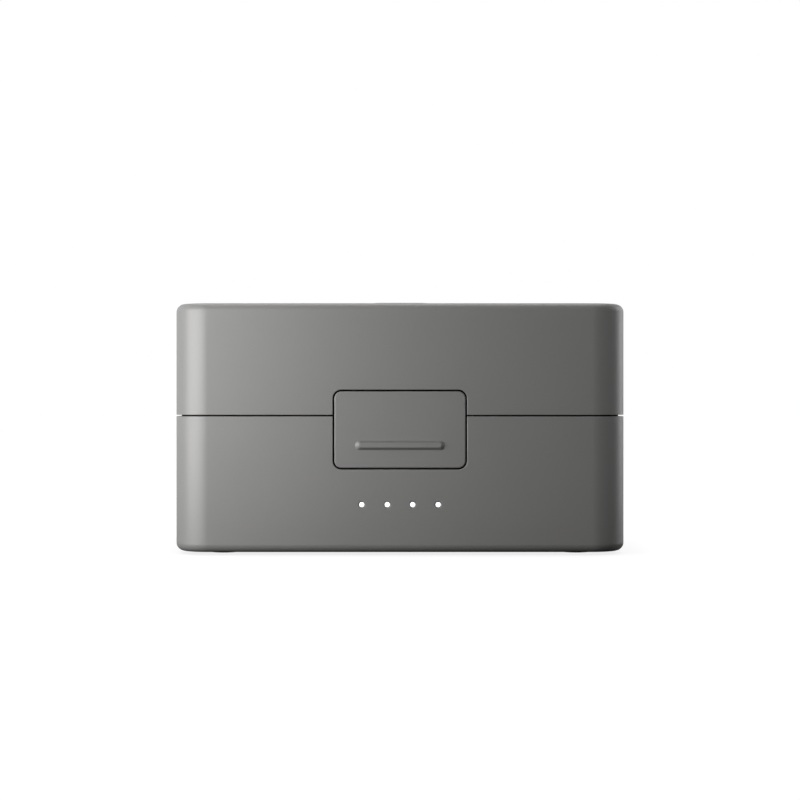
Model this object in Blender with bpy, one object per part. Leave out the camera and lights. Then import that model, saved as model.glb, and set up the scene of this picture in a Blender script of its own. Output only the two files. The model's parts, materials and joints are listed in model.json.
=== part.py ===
"""A battery charging case: a small clamshell box with a hinged lid, a front latch and three bays.

Units are metres. +Z is up and -Y is the front, the side with the latch and the charge lights.
The origin is the middle of the footprint, on the surface that the feet stand on.
"""

import math

import bmesh
import bpy
from mathutils import Matrix, Vector

# Outer box
CASE_WIDTH = 0.1000
CASE_DEPTH = 0.0560
LOWER_HEIGHT = 0.0300
LID_HEIGHT = 0.0247
SEAM_GAP = 0.00025
WALL = 0.0022
CORNER_RADIUS = 0.0077
EDGE_RADIUS = 0.0018
TONGUE_WALL = 0.0010
TONGUE_RISE = 0.0010
TONGUE_CLEARANCE = 0.0001

# Clearances
FIT_GAP = 0.0003
SEAT_GAP = 0.0001
PIN_CLEARANCE = 0.00008

# Latch: a flush plate that swings on a pin in the lid and hooks under a ledge of the lower case
LATCH_WIDTH = 0.02890
LATCH_ABOVE_SEAM = 0.00537
LATCH_BELOW_SEAM = 0.01153
LATCH_THICK = 0.0020
LATCH_CORNER = 0.0016
LATCH_GAP = 0.00025
LATCH_SKIN = 0.0003
LATCH_PIVOT_DEPTH = 0.0019
LATCH_PIVOT_DROP = 0.0024
LATCH_BARREL_RADIUS = 0.0017
LATCH_BARREL_INSET = 0.0006
LATCH_PIN_RADIUS = 0.0007
LATCH_PIN_SEAT = 0.0010
POCKET_WALL = 0.0012
RIB_LENGTH = 0.0198
RIB_HEIGHT = 0.0020
RIB_PROUD = 0.0007
RIB_DRAFT = 0.0005
RIB_END_DRAFT = 0.0009
RIB_BELOW_SEAM = 0.0065
HOOK_WIDTH = 0.0120
HOOK_BELOW_SEAM = 0.0068
HOOK_HEIGHT = 0.0015
HOOK_REACH = 0.0024
LEDGE_HEIGHT = 0.0015
LEDGE_SIDE = 0.0010
HOOK_BITE = 0.0010

# Torsion spring on the latch pin
SPRING_WIRE_RADIUS = 0.00015
SPRING_COIL_RADIUS = 0.00105
SPRING_TURNS = 4
SPRING_PITCH = 0.00040
SPRING_LEG_RISE = 0.0020
SPRING_LEG_SEAT = 0.0007
SPRING_BEND_RADIUS = 0.0003
SPRING_SLOT_SIDE = 0.0010

# Charge lights
LIGHT_COUNT = 4
LIGHT_PITCH = 0.0056
LIGHT_HOLE_RADIUS = 0.00070
LIGHT_PRONG_RADIUS = 0.00058
LIGHT_RECESS = 0.00012
LIGHT_DROP = 0.00804
LIGHT_BAR_HEIGHT = 0.0030
LIGHT_BAR_THICK = 0.0015
LIGHT_BAR_OVERHANG = 0.0025
EMITTER_WIDTH = 0.0016
EMITTER_HEIGHT = 0.0012
EMITTER_THICK = 0.0007
LIGHT_BOARD_THICK = 0.0010
LIGHT_BOARD_ABOVE = 0.0030
LIGHT_BOARD_OVERHANG = 0.0045

# Feet
FOOT_RADIUS = 0.0033
FOOT_PROUD = 0.0006
FOOT_RECESS = 0.0006
FOOT_INSET_X = 0.0105
FOOT_INSET_Y = 0.0108

# Hinge along the back of the seam
HINGE_LENGTH = 0.0620
HINGE_KNUCKLES = 5
HINGE_RADIUS = 0.0019
HINGE_STANDOFF = 0.0022
HINGE_PIN_RADIUS = 0.0008
HINGE_ARM = 0.0046

# Badge plate on the lid, left bare
BADGE_WIDTH = 0.0130
BADGE_DEPTH = 0.0056
BADGE_PROUD = 0.0003
BADGE_SUNK = 0.0006
BADGE_SETBACK = 0.0060

# Battery tray and packs
BAY_COUNT = 3
TRAY_WALL = 0.0015
TRAY_DIVIDER = 0.0016
TRAY_FLOOR = 0.0014
TRAY_FLANGE = 0.0016
TRAY_FLANGE_DROP = 0.0017
TRAY_SIDE_MARGIN = 0.0051
TRAY_REAR_MARGIN = 0.0040
BAY_CLEARANCE = 0.0003
PACK_CORNER = 0.0025
PACK_EDGE = 0.0008
TERMINAL_WIDTH = 0.0120
TERMINAL_DEPTH = 0.0050
TERMINAL_THICK = 0.0008
SLOT_MARGIN = 0.0010

# Lid liner and hold-down pads
LINER_WALL = 0.0012
LINER_RISE = 0.0015
LINER_HEADROOM = 0.0044
LINER_SIDE_GAP = 0.0004
PAD_THICK = 0.0043
PAD_INSET = 0.0020

# Circuit board and what it carries
BOARD_THICK = 0.0012
BOARD_LIFT = 0.0028
BOARD_HEADROOM = 0.0004
BOARD_SIDE_INSET = 0.0053
BOSS_RADIUS = 0.0026
BOARD_SCREW_INSET = 0.0065
BLOCK_HEIGHT = 0.0024
BLADE_COUNT = 4
BLADE_PITCH = 0.0026
BLADE_WIDTH = 0.0008
BLADE_DEPTH = 0.0030
CHIP_SIDE = 0.0050
CHIP_HEIGHT = 0.0009
COIL_SIDE = 0.0064
COIL_HEIGHT = 0.0028
CAPACITOR_RADIUS = 0.0020
CAPACITOR_HEIGHT = 0.0027
CAPACITOR_PITCH = 0.0052

# Charging socket in the back wall
SOCKET_WIDTH = 0.00894
SOCKET_HEIGHT = 0.00326
SOCKET_LENGTH = 0.0073
SOCKET_SKIN = 0.0003
SOCKET_FLOOR = 0.0010
SOCKET_TONGUE_WIDTH = 0.0067
SOCKET_TONGUE_THICK = 0.0007
SOCKET_TONGUE_SETBACK = 0.0010
SOCKET_CORNER = 0.0014
SOCKET_RECESS = 0.0005

# Screws
SCREW_RADIUS = 0.00075
SCREW_LENGTH = 0.0060
BOARD_SCREW_LENGTH = 0.0042
SCREW_HEAD_RADIUS = 0.0014
SCREW_HEAD_HEIGHT = 0.0010
SCREW_DRIVE_RADIUS = 0.0007
SCREW_DRIVE_DEPTH = 0.0005
SCREW_PILOT_CLEARANCE = 0.00015
COLUMN_RADIUS = 0.00175
COLUMN_INSET_X = 0.0029
COLUMN_INSET_Y = 0.0070
COLUMN_WEB = 0.0012

# Facets on round shapes
CORNER_STEPS = 8
EDGE_STEPS = 5
ROUND_SIDES = 24
SMALL_SIDES = 16
COIL_STEPS = 12
BEND_STEPS = 4

# A cutter runs this far past the face that it starts from
OVERRUN = 0.0010

# Places that follow from the sizes
HINGE_PROUD = HINGE_STANDOFF + HINGE_RADIUS
FRONT_Y = RIB_PROUD - (RIB_PROUD + CASE_DEPTH + HINGE_PROUD) / 2
BACK_Y = FRONT_Y + CASE_DEPTH
MIDDLE_Y = (FRONT_Y + BACK_Y) / 2
UNDERSIDE_Z = FOOT_PROUD
RIM_Z = UNDERSIDE_Z + LOWER_HEIGHT
LID_RIM_Z = RIM_Z + SEAM_GAP
SEAM_Z = (RIM_Z + LID_RIM_Z) / 2
TOP_Z = LID_RIM_Z + LID_HEIGHT
FLOOR_Z = UNDERSIDE_Z + WALL
CEILING_Z = TOP_Z - WALL
INNER_WIDTH = CASE_WIDTH - 2 * WALL

HINGE_Y = BACK_Y + HINGE_STANDOFF

PIVOT_Y = FRONT_Y + LATCH_PIVOT_DEPTH
PIVOT_Z = SEAM_Z + LATCH_ABOVE_SEAM - LATCH_PIVOT_DROP
POCKET_RADIUS = math.hypot(LATCH_PIVOT_DEPTH, LATCH_PIVOT_DROP + LATCH_GAP)
POCKET_Y = PIVOT_Y + POCKET_RADIUS
POCKET_BACK_Y = POCKET_Y + POCKET_WALL
RECESS_WIDTH = LATCH_WIDTH + 2 * LATCH_GAP
RECESS_BOTTOM_Z = SEAM_Z - LATCH_BELOW_SEAM - LATCH_GAP
RECESS_TOP_Z = SEAM_Z + LATCH_ABOVE_SEAM + LATCH_GAP
SPRING_LENGTH = SPRING_TURNS * SPRING_PITCH
SPRING_SLOT = SPRING_LENGTH + 2 * SPRING_SLOT_SIDE

LIGHT_Z = SEAM_Z - LATCH_BELOW_SEAM - LIGHT_DROP
LIGHT_SPAN = (LIGHT_COUNT - 1) * LIGHT_PITCH
LIGHT_BAR_Y = FRONT_Y + WALL + SEAT_GAP
EMITTER_Y = LIGHT_BAR_Y + LIGHT_BAR_THICK + SEAT_GAP
LIGHT_BOARD_Y = EMITTER_Y + EMITTER_THICK + SEAT_GAP

BOARD_Z = FLOOR_Z + BOARD_LIFT
BOARD_TOP_Z = BOARD_Z + BOARD_THICK
BOARD_FRONT_Y = LIGHT_BOARD_Y + LIGHT_BOARD_THICK + SEAT_GAP
BOARD_BACK_Y = BACK_Y - WALL - FIT_GAP
BOARD_WIDTH = INNER_WIDTH - 2 * BOARD_SIDE_INSET
SOCKET_Z = BOARD_TOP_Z + SEAT_GAP + SOCKET_HEIGHT / 2

TALLEST_ON_BOARD = max(SOCKET_HEIGHT, COIL_HEIGHT, CAPACITOR_HEIGHT, CHIP_HEIGHT, BLOCK_HEIGHT)
TRAY_FLOOR_Z = BOARD_TOP_Z + SEAT_GAP + TALLEST_ON_BOARD + BOARD_HEADROOM
PACK_BOTTOM_Z = TRAY_FLOOR_Z + TRAY_FLOOR + FIT_GAP
TRAY_FLANGE_Z = RIM_Z - TRAY_FLANGE_DROP
LINER_CEILING_Z = CEILING_Z - LINER_HEADROOM - LINER_WALL
LINER_FLANGE_Z = LID_RIM_Z + LINER_RISE
PAD_BOTTOM_Z = LINER_CEILING_Z - SEAT_GAP - PAD_THICK
PACK_TOP_Z = PAD_BOTTOM_Z - FIT_GAP
PACK_HEIGHT = PACK_TOP_Z - PACK_BOTTOM_Z

# The front of the packs stays clear of the liner's front wall as the lid swings round the hinge
LINER_FRONT_Y = POCKET_BACK_Y + FIT_GAP + LINER_WALL
LINER_SWING_RADIUS = HINGE_Y - LINER_FRONT_Y - FIT_GAP
PACK_RISE = PACK_TOP_Z - SEAM_Z
PACK_FRONT_Y = HINGE_Y - math.sqrt(LINER_SWING_RADIUS**2 - PACK_RISE**2)
BAY_FRONT_Y = PACK_FRONT_Y - BAY_CLEARANCE
BAY_BACK_Y = BACK_Y - WALL - TRAY_REAR_MARGIN - TRAY_WALL
PACK_DEPTH = BAY_BACK_Y - BAY_FRONT_Y - 2 * BAY_CLEARANCE
PACK_MIDDLE_Y = (BAY_FRONT_Y + BAY_BACK_Y) / 2
BAYS_WIDTH = INNER_WIDTH - 2 * TRAY_SIDE_MARGIN - 2 * TRAY_WALL
BAY_WIDTH = (BAYS_WIDTH - (BAY_COUNT - 1) * TRAY_DIVIDER) / BAY_COUNT
BAY_PITCH = BAY_WIDTH + TRAY_DIVIDER
PACK_WIDTH = BAY_WIDTH - 2 * BAY_CLEARANCE
LINER_BACK_Y = BAY_BACK_Y + LINER_SIDE_GAP
LINER_INNER_WIDTH = BAYS_WIDTH + 2 * LINER_SIDE_GAP

COLUMN_X = INNER_WIDTH / 2 - COLUMN_INSET_X
COLUMN_YS = (FRONT_Y + WALL + COLUMN_INSET_Y, BACK_Y - WALL - COLUMN_INSET_Y)
PILOT_RADIUS = SCREW_RADIUS + SCREW_PILOT_CLEARANCE
SIDES = ("left", "middle", "right")

AXES = {
    "X": lambda u, v, along: (along, u, v),
    "Y": lambda u, v, along: (u, along, v),
    "Z": lambda u, v, along: (u, v, along),
}


# Outlines


def arc(centre, radius, start, end, steps):
    """Points on an arc between two angles in degrees, both ends included."""
    angles = [math.radians(start + (end - start) * i / steps) for i in range(steps + 1)]
    return [(centre[0] + radius * math.cos(a), centre[1] + radius * math.sin(a)) for a in angles]


def circle(radius, sides, centre=(0.0, 0.0)):
    return arc(centre, radius, 0, 360, sides)[:-1]


def rounded_rectangle(width, height, radius, centre=(0.0, 0.0), steps=CORNER_STEPS):
    across = width / 2 - radius
    up = height / 2 - radius
    corners = ((1, 1, 0), (-1, 1, 90), (-1, -1, 180), (1, -1, 270))
    points = []
    for sign_u, sign_v, start in corners:
        corner = (centre[0] + sign_u * across, centre[1] + sign_v * up)
        points += arc(corner, radius, start, start + 90, steps)
    return points


def rectangle(low, high):
    return [(low[0], low[1]), (high[0], low[1]), (high[0], high[1]), (low[0], high[1])]


# Solids


def link(name, mesh):
    made = bpy.data.objects.new(name, mesh)
    bpy.context.scene.collection.objects.link(made)
    return made


def loft(name, rings, axis="Z"):
    """Closed solid through outlines of equal point count, each with its place along the axis."""
    place = AXES[axis]
    shape = bmesh.new()
    loops = [[shape.verts.new(place(u, v, along)) for u, v in outline] for outline, along in rings]
    for lower, upper in zip(loops, loops[1:]):
        for i, corner in enumerate(lower):
            j = (i + 1) % len(lower)
            shape.faces.new((corner, lower[j], upper[j], upper[i]))
    shape.faces.new(reversed(loops[0]))
    shape.faces.new(loops[-1])
    bmesh.ops.recalc_face_normals(shape, faces=shape.faces)
    mesh = bpy.data.meshes.new(name)
    shape.to_mesh(mesh)
    shape.free()
    return link(name, mesh)


def prism(name, outline, start, end, axis="Z"):
    return loft(name, [(outline, start), (outline, end)], axis)


def box(name, low, high):
    return prism(name, rectangle(low[:2], high[:2]), low[2], high[2])


def rod(name, radius, start, end, axis, centre, sides=ROUND_SIDES):
    return prism(name, circle(radius, sides, centre), start, end, axis)


def evaluated_mesh(thing):
    bpy.context.view_layer.update()
    graph = bpy.context.evaluated_depsgraph_get()
    return bpy.data.meshes.new_from_object(thing.evaluated_get(graph))


def combine(target, tools, operation):
    """Adds the tools to the target, or takes them away from it, and removes them from the scene."""
    for tool in tools:
        modifier = target.modifiers.new(operation, "BOOLEAN")
        modifier.operation = operation
        modifier.solver = "EXACT"
        modifier.object = tool
        mesh = evaluated_mesh(target)
        target.modifiers.clear()
        target.data = mesh
        bpy.data.objects.remove(tool)


def add(target, *tools):
    combine(target, tools, "UNION")


def cut(target, *tools):
    combine(target, tools, "DIFFERENCE")


def keep_common(target, *tools):
    combine(target, tools, "INTERSECT")


# Finishes and places


def finish(name, colour, roughness, metallic=0.0):
    material = bpy.data.materials.new(name)
    material.use_nodes = True
    shader = material.node_tree.nodes["Principled BSDF"]
    shader.inputs["Base Color"].default_value = (*colour, 1.0)
    shader.inputs["Roughness"].default_value = roughness
    shader.inputs["Metallic"].default_value = metallic
    return material


def axis_empty(name, place):
    empty = bpy.data.objects.new(name, None)
    empty.location = place
    bpy.context.scene.collection.objects.link(empty)
    return empty


def seat(thing, origin, material, parent=None):
    """Moves a solid's origin to a point without moving the solid, and gives it its finish and parent."""
    thing.data.transform(Matrix.Translation(-Vector(origin)))
    thing.data.materials.clear()
    thing.data.materials.append(material)
    thing.data.shade_smooth()
    thing.data.set_sharp_from_angle(angle=math.radians(30))
    if parent is None:
        thing.location = origin
    else:
        thing.parent = parent
        thing.location = Vector(origin) - parent.location
    return thing


def copies(pattern, places, material, parent=None):
    """One object for each named place, all sharing the pattern's mesh. The pattern itself is removed."""
    for name, place in places:
        seat_at = link(name, pattern.data)
        if parent is None:
            seat_at.location = place
        else:
            seat_at.parent = parent
            seat_at.location = Vector(place) - parent.location
    pattern.data.materials.append(material)
    pattern.data.shade_smooth()
    pattern.data.set_sharp_from_angle(angle=math.radians(30))
    bpy.data.objects.remove(pattern)


# Shells


def shell_outline(inset):
    """The box seen from above, taken in by an even distance."""
    return rounded_rectangle(
        CASE_WIDTH - 2 * inset,
        CASE_DEPTH - 2 * inset,
        CORNER_RADIUS - inset,
        (0.0, MIDDLE_Y),
    )


def outer_rings(rim_z, end_z):
    """Rings from the rim to the closed end, where the edge is rounded."""
    way = 1 if end_z > rim_z else -1
    rings = [(shell_outline(0.0), rim_z)]
    for i in range(EDGE_STEPS + 1):
        turn = math.radians(90 * i / EDGE_STEPS)
        inset = EDGE_RADIUS * (1 - math.cos(turn))
        rings.append((shell_outline(inset), end_z - way * EDGE_RADIUS * (1 - math.sin(turn))))
    return rings


def hollow(name, rim_z, end_z, inner_z):
    """A shell that is open at its rim."""
    way = 1 if end_z > rim_z else -1
    body = loft(name, outer_rings(rim_z, end_z))
    cut(body, prism("cavity", shell_outline(WALL), rim_z - way * OVERRUN, inner_z))
    return body


def tongue():
    """The lip inside the lower rim that the lid's rebate closes over, left out at the latch pocket."""
    top = LID_RIM_Z + TONGUE_RISE
    lip = prism("tongue", shell_outline(WALL - TONGUE_WALL), RIM_Z - WALL / 2, top)
    cut(lip, prism("tongue_inside", shell_outline(WALL), RIM_Z - WALL, top + OVERRUN))
    half = RECESS_WIDTH / 2 + POCKET_WALL + FIT_GAP
    cut(lip, box("pocket_notch", (-half, FRONT_Y, RIM_Z), (half, POCKET_BACK_Y + FIT_GAP, top + OVERRUN)))
    return lip


def rebate():
    """What the lid's rim loses on its inner side to make room for the tongue."""
    inset = WALL - TONGUE_WALL - TONGUE_CLEARANCE
    return prism("rebate", shell_outline(inset), LID_RIM_Z - OVERRUN, LID_RIM_Z + TONGUE_RISE + FIT_GAP)


def pocket_block(low_z, high_z):
    """The wall round the back and sides of the latch recess."""
    half = RECESS_WIDTH / 2 + POCKET_WALL
    return box("pocket_block", (-half, FRONT_Y + WALL / 4, low_z), (half, POCKET_BACK_Y, high_z))


def recess_prism():
    """The latch recess seen from the front, with round corners."""
    height = RECESS_TOP_Z - RECESS_BOTTOM_Z
    outline = rounded_rectangle(
        RECESS_WIDTH,
        height,
        LATCH_CORNER + LATCH_GAP,
        (0.0, RECESS_BOTTOM_Z + height / 2),
    )
    return prism("recess", outline, FRONT_Y - OVERRUN, POCKET_Y, "Y")


def lid_recess():
    """The recess in the lid: round about the latch pin, and square behind the skin, so that the plate can swing."""
    front_angle = 180 - math.degrees(math.asin((LATCH_PIVOT_DROP + LATCH_GAP) / POCKET_RADIUS))
    swing = arc((PIVOT_Y, PIVOT_Z), POCKET_RADIUS, 0, front_angle, ROUND_SIDES)
    side = [
        (FRONT_Y - 2 * OVERRUN, RIM_Z - OVERRUN),
        (POCKET_Y, RIM_Z - OVERRUN),
        *swing,
        (FRONT_Y - 2 * OVERRUN, RECESS_TOP_Z),
    ]
    pocket = recess_prism()
    half = RECESS_WIDTH / 2
    low = (-half, FRONT_Y + LATCH_SKIN, RIM_Z - OVERRUN)
    add(pocket, box("square_pocket", low, (half, POCKET_Y, PIVOT_Z + POCKET_RADIUS)))
    keep_common(pocket, prism("swing", side, -RECESS_WIDTH, RECESS_WIDTH, "X"))
    return pocket


def knuckle(index, way):
    """One hinge knuckle with the arm that carries it, above the seam (way 1) or below it (way -1)."""
    gaps = (HINGE_KNUCKLES - 1) * FIT_GAP
    length = (HINGE_LENGTH - gaps) / HINGE_KNUCKLES
    start = -HINGE_LENGTH / 2 + index * (length + FIT_GAP)
    foot = (BACK_Y - WALL / 2, SEAM_Z + way * HINGE_ARM)
    reach = math.hypot(HINGE_Y - foot[0], HINGE_ARM)
    slope = math.degrees(math.atan2(HINGE_ARM, foot[0] - HINGE_Y))
    tangent = slope - math.degrees(math.acos(HINGE_RADIUS / reach))
    round_part = arc((HINGE_Y, 0.0), HINGE_RADIUS, tangent, tangent - 180, ROUND_SIDES // 2)
    outline = [(y, SEAM_Z + way * z) for y, z in round_part]
    neck = (BACK_Y - WALL / 2, SEAM_Z + way * (SEAM_GAP / 2 + FIT_GAP))
    elbow = (BACK_Y + FIT_GAP, neck[1])
    return prism("knuckle", [foot, *outline, elbow, neck], start, start + length, "X")


def hinge_bore():
    half = HINGE_LENGTH / 2 + OVERRUN
    return rod("bore", HINGE_PIN_RADIUS + PIN_CLEARANCE, -half, half, "X", (HINGE_Y, SEAM_Z))


def column(x, y, low_z, high_z):
    """A screw column with the web that ties it to the side wall."""
    post = rod("column", COLUMN_RADIUS, low_z, high_z, "Z", (x, y))
    wall_x = math.copysign(INNER_WIDTH / 2 + WALL / 2, x)
    low = (min(x, wall_x), y - COLUMN_WEB / 2, low_z)
    add(post, box("web", low, (max(x, wall_x), y + COLUMN_WEB / 2, high_z)))
    return post


def pilot(x, y, mouth_z, way):
    """A blind screw hole that opens at mouth_z and runs down (way -1) or up (way 1)."""
    ends = sorted((mouth_z - way * OVERRUN, mouth_z + way * (SCREW_LENGTH + FIT_GAP)))
    return rod("pilot", PILOT_RADIUS, *ends, "Z", (x, y), SMALL_SIDES)


def column_places():
    for end, y in zip(("front", "back"), COLUMN_YS):
        for side, x in (("left", -COLUMN_X), ("right", COLUMN_X)):
            yield f"{end}_{side}", x, y


def board_screw_places():
    x = BOARD_WIDTH / 2 - BOARD_SCREW_INSET
    ends = (("front", BOARD_FRONT_Y + BOARD_SCREW_INSET), ("back", BOARD_BACK_Y - BOARD_SCREW_INSET))
    for end, y in ends:
        for side, sign in (("left", -1), ("right", 1)):
            yield f"{end}_{side}", sign * x, y


def foot_places():
    x = CASE_WIDTH / 2 - FOOT_INSET_X
    for end, y in (("front", FRONT_Y + FOOT_INSET_Y), ("back", BACK_Y - FOOT_INSET_Y)):
        for side, sign in (("left", -1), ("right", 1)):
            yield f"{end}_{side}", sign * x, y


def light_xs():
    return [i * LIGHT_PITCH - LIGHT_SPAN / 2 for i in range(LIGHT_COUNT)]


def bay_xs():
    return [(i - (BAY_COUNT - 1) / 2) * BAY_PITCH for i in range(BAY_COUNT)]


def make_lower_case(material):
    body = hollow("lower_case", RIM_Z, UNDERSIDE_Z, FLOOR_Z)
    add(body, tongue())
    add(body, pocket_block(RECESS_BOTTOM_Z - POCKET_WALL, RIM_Z))
    column_top = TRAY_FLANGE_Z - TRAY_FLANGE - SEAT_GAP
    sunk = FLOOR_Z - WALL / 2
    for _, x, y in column_places():
        add(body, column(x, y, sunk, column_top))
        cut(body, pilot(x, y, column_top, -1))
    for _, x, y in board_screw_places():
        add(body, rod("boss", BOSS_RADIUS, sunk, BOARD_Z - SEAT_GAP, "Z", (x, y)))
        shaft_end = BOARD_TOP_Z + SEAT_GAP - BOARD_SCREW_LENGTH
        cut(body, rod("pilot", PILOT_RADIUS, shaft_end - FIT_GAP, BOARD_Z, "Z", (x, y), SMALL_SIDES))
    cut(body, recess_prism())
    ledge_z = SEAM_Z - HOOK_BELOW_SEAM + FIT_GAP
    half = HOOK_WIDTH / 2 + LEDGE_SIDE
    ledge_y = FRONT_Y + LATCH_THICK + HOOK_REACH - HOOK_BITE
    add(body, box("ledge", (-half, ledge_y, ledge_z), (half, POCKET_Y + POCKET_WALL / 2, ledge_z + LEDGE_HEIGHT)))
    for x in light_xs():
        hole = (x, LIGHT_Z)
        cut(body, rod("hole", LIGHT_HOLE_RADIUS, FRONT_Y - OVERRUN, FRONT_Y + WALL + OVERRUN, "Y", hole))
    for _, x, y in foot_places():
        radius = FOOT_RADIUS + SEAT_GAP
        cut(body, rod("seat", radius, UNDERSIDE_Z - OVERRUN, UNDERSIDE_Z + FOOT_RECESS, "Z", (x, y)))
    socket_hole = rounded_rectangle(
        SOCKET_WIDTH + 2 * FIT_GAP,
        SOCKET_HEIGHT + 2 * FIT_GAP,
        SOCKET_CORNER + FIT_GAP,
        (0.0, SOCKET_Z),
    )
    cut(body, prism("socket_hole", socket_hole, BACK_Y - WALL - OVERRUN, BACK_Y + OVERRUN, "Y"))
    for index in range(0, HINGE_KNUCKLES, 2):
        add(body, knuckle(index, -1))
    cut(body, hinge_bore())
    return seat(body, (0, 0, 0), material)


def make_lid_cover(material, parent):
    body = hollow("lid_cover", LID_RIM_Z, TOP_Z, CEILING_Z)
    cut(body, rebate())
    add(body, pocket_block(LID_RIM_Z, PIVOT_Z + POCKET_RADIUS + POCKET_WALL))
    flange_top = LINER_FLANGE_Z + LINER_WALL + SEAT_GAP
    for _, x, y in column_places():
        add(body, column(x, y, flange_top, CEILING_Z + WALL / 2))
        cut(body, pilot(x, y, flange_top, 1))
    cut(body, lid_recess())
    pin_half = RECESS_WIDTH / 2 + LATCH_PIN_SEAT + SEAT_GAP
    cut(body, rod("pin_hole", LATCH_PIN_RADIUS + PIN_CLEARANCE, -pin_half, pin_half, "X", (PIVOT_Y, PIVOT_Z)))
    hole_depth = (POCKET_Y - OVERRUN, POCKET_Y + SPRING_LEG_SEAT + SEAT_GAP)
    hole_centre = (-SPRING_LENGTH / 2, PIVOT_Z - SPRING_COIL_RADIUS)
    cut(body, rod("spring_hole", SPRING_WIRE_RADIUS + SEAT_GAP, *hole_depth, "Y", hole_centre, SMALL_SIDES))
    badge_seat = rounded_rectangle(
        BADGE_WIDTH + 2 * SEAT_GAP,
        BADGE_DEPTH + 2 * SEAT_GAP,
        BADGE_DEPTH / 2 + SEAT_GAP,
        (0.0, FRONT_Y + BADGE_SETBACK + BADGE_DEPTH / 2),
    )
    cut(body, prism("badge_seat", badge_seat, TOP_Z - BADGE_SUNK, TOP_Z + OVERRUN))
    for index in range(1, HINGE_KNUCKLES, 2):
        add(body, knuckle(index, 1))
    cut(body, hinge_bore())
    return seat(body, parent.location, material, parent)


def make_badge(material, parent):
    centre = (0.0, FRONT_Y + BADGE_SETBACK + BADGE_DEPTH / 2)
    outline = rounded_rectangle(BADGE_WIDTH, BADGE_DEPTH, BADGE_DEPTH / 2, centre)
    plate = prism("lid_badge", outline, TOP_Z - BADGE_SUNK + SEAT_GAP, TOP_Z + BADGE_PROUD)
    return seat(plate, (*centre, TOP_Z), material, parent)


# Latch


def make_latch_lever(material, parent):
    height = LATCH_ABOVE_SEAM + LATCH_BELOW_SEAM
    outline = rounded_rectangle(
        LATCH_WIDTH, height, LATCH_CORNER, (0.0, SEAM_Z - LATCH_BELOW_SEAM + height / 2)
    )
    lever = prism("latch_lever", outline, FRONT_Y, FRONT_Y + LATCH_THICK, "Y")
    pivot = (PIVOT_Y, PIVOT_Z)
    barrel_half = LATCH_WIDTH / 2 - LATCH_BARREL_INSET
    add(lever, rod("barrel", LATCH_BARREL_RADIUS, -barrel_half, barrel_half, "X", pivot))
    add(lever, hook(), rib())
    cut(lever, rod("bore", LATCH_PIN_RADIUS + PIN_CLEARANCE, -LATCH_WIDTH, LATCH_WIDTH, "X", pivot))
    half = SPRING_SLOT / 2
    coil_room = SPRING_COIL_RADIUS + SPRING_WIRE_RADIUS + SEAT_GAP
    behind = FRONT_Y + LATCH_THICK
    reach = LATCH_BARREL_RADIUS + OVERRUN
    cut(
        lever,
        rod("coil_room", coil_room, -half, half, "X", pivot),
        box("slot", (-half, behind, PIVOT_Z - reach), (half, PIVOT_Y + reach, PIVOT_Z + reach)),
    )
    return seat(lever, parent.location, material, parent)


def hook():
    """The tooth behind the plate, with a ramp under it that rides over the ledge as the lid shuts."""
    top = SEAM_Z - HOOK_BELOW_SEAM
    root = FRONT_Y + LATCH_THICK / 2
    tip = FRONT_Y + LATCH_THICK + HOOK_REACH
    side = [
        (root, top),
        (root, top - 2 * HOOK_HEIGHT),
        (FRONT_Y + LATCH_THICK, top - 2 * HOOK_HEIGHT),
        (tip, top - HOOK_HEIGHT / 2),
        (tip, top),
    ]
    return prism("hook", side, -HOOK_WIDTH / 2, HOOK_WIDTH / 2, "X")


def rib():
    """The raised finger rib, with drafted sides and longer, round ends."""
    centre = (0.0, SEAM_Z - RIB_BELOW_SEAM)
    foot = rounded_rectangle(RIB_LENGTH, RIB_HEIGHT, RIB_HEIGHT / 2, centre)
    crest_height = RIB_HEIGHT - 2 * RIB_DRAFT
    crest = rounded_rectangle(RIB_LENGTH - 2 * RIB_END_DRAFT, crest_height, crest_height / 2, centre)
    rings = [(foot, FRONT_Y + LATCH_THICK / 2), (foot, FRONT_Y), (crest, FRONT_Y - RIB_PROUD)]
    return loft("rib", rings, "Y")


def make_latch_pin(material, parent):
    half = RECESS_WIDTH / 2 + LATCH_PIN_SEAT
    pin = rod("latch_pin", LATCH_PIN_RADIUS, -half, half, "X", (PIVOT_Y, PIVOT_Z))
    return seat(pin, (0.0, PIVOT_Y, PIVOT_Z), material, parent)


def spring_route():
    """Centreline of the torsion spring: a leg in the pocket wall, the coil, a bent leg on the plate."""
    across = SPRING_LENGTH / 2
    route = [(-across, POCKET_RADIUS + SPRING_LEG_SEAT, -SPRING_COIL_RADIUS)]
    turn = SPRING_TURNS * 360 + 180
    steps = round(turn * COIL_STEPS / 360)
    for i in range(steps + 1):
        angle = math.radians(-90 - turn * i / steps)
        along = -across + SPRING_LENGTH * i / steps
        route.append((along, SPRING_COIL_RADIUS * math.cos(angle), SPRING_COIL_RADIUS * math.sin(angle)))
    leg_y = LATCH_THICK - LATCH_PIVOT_DEPTH + SPRING_WIRE_RADIUS + 2 * SEAT_GAP
    bend_centre = (leg_y - SPRING_BEND_RADIUS, SPRING_COIL_RADIUS + SPRING_BEND_RADIUS)
    route += [(across, y, z) for y, z in arc(bend_centre, SPRING_BEND_RADIUS, -90, 0, BEND_STEPS)]
    route.append((across, leg_y, SPRING_LEG_RISE))
    return [(x, PIVOT_Y + y, PIVOT_Z + z) for x, y, z in route]


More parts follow.
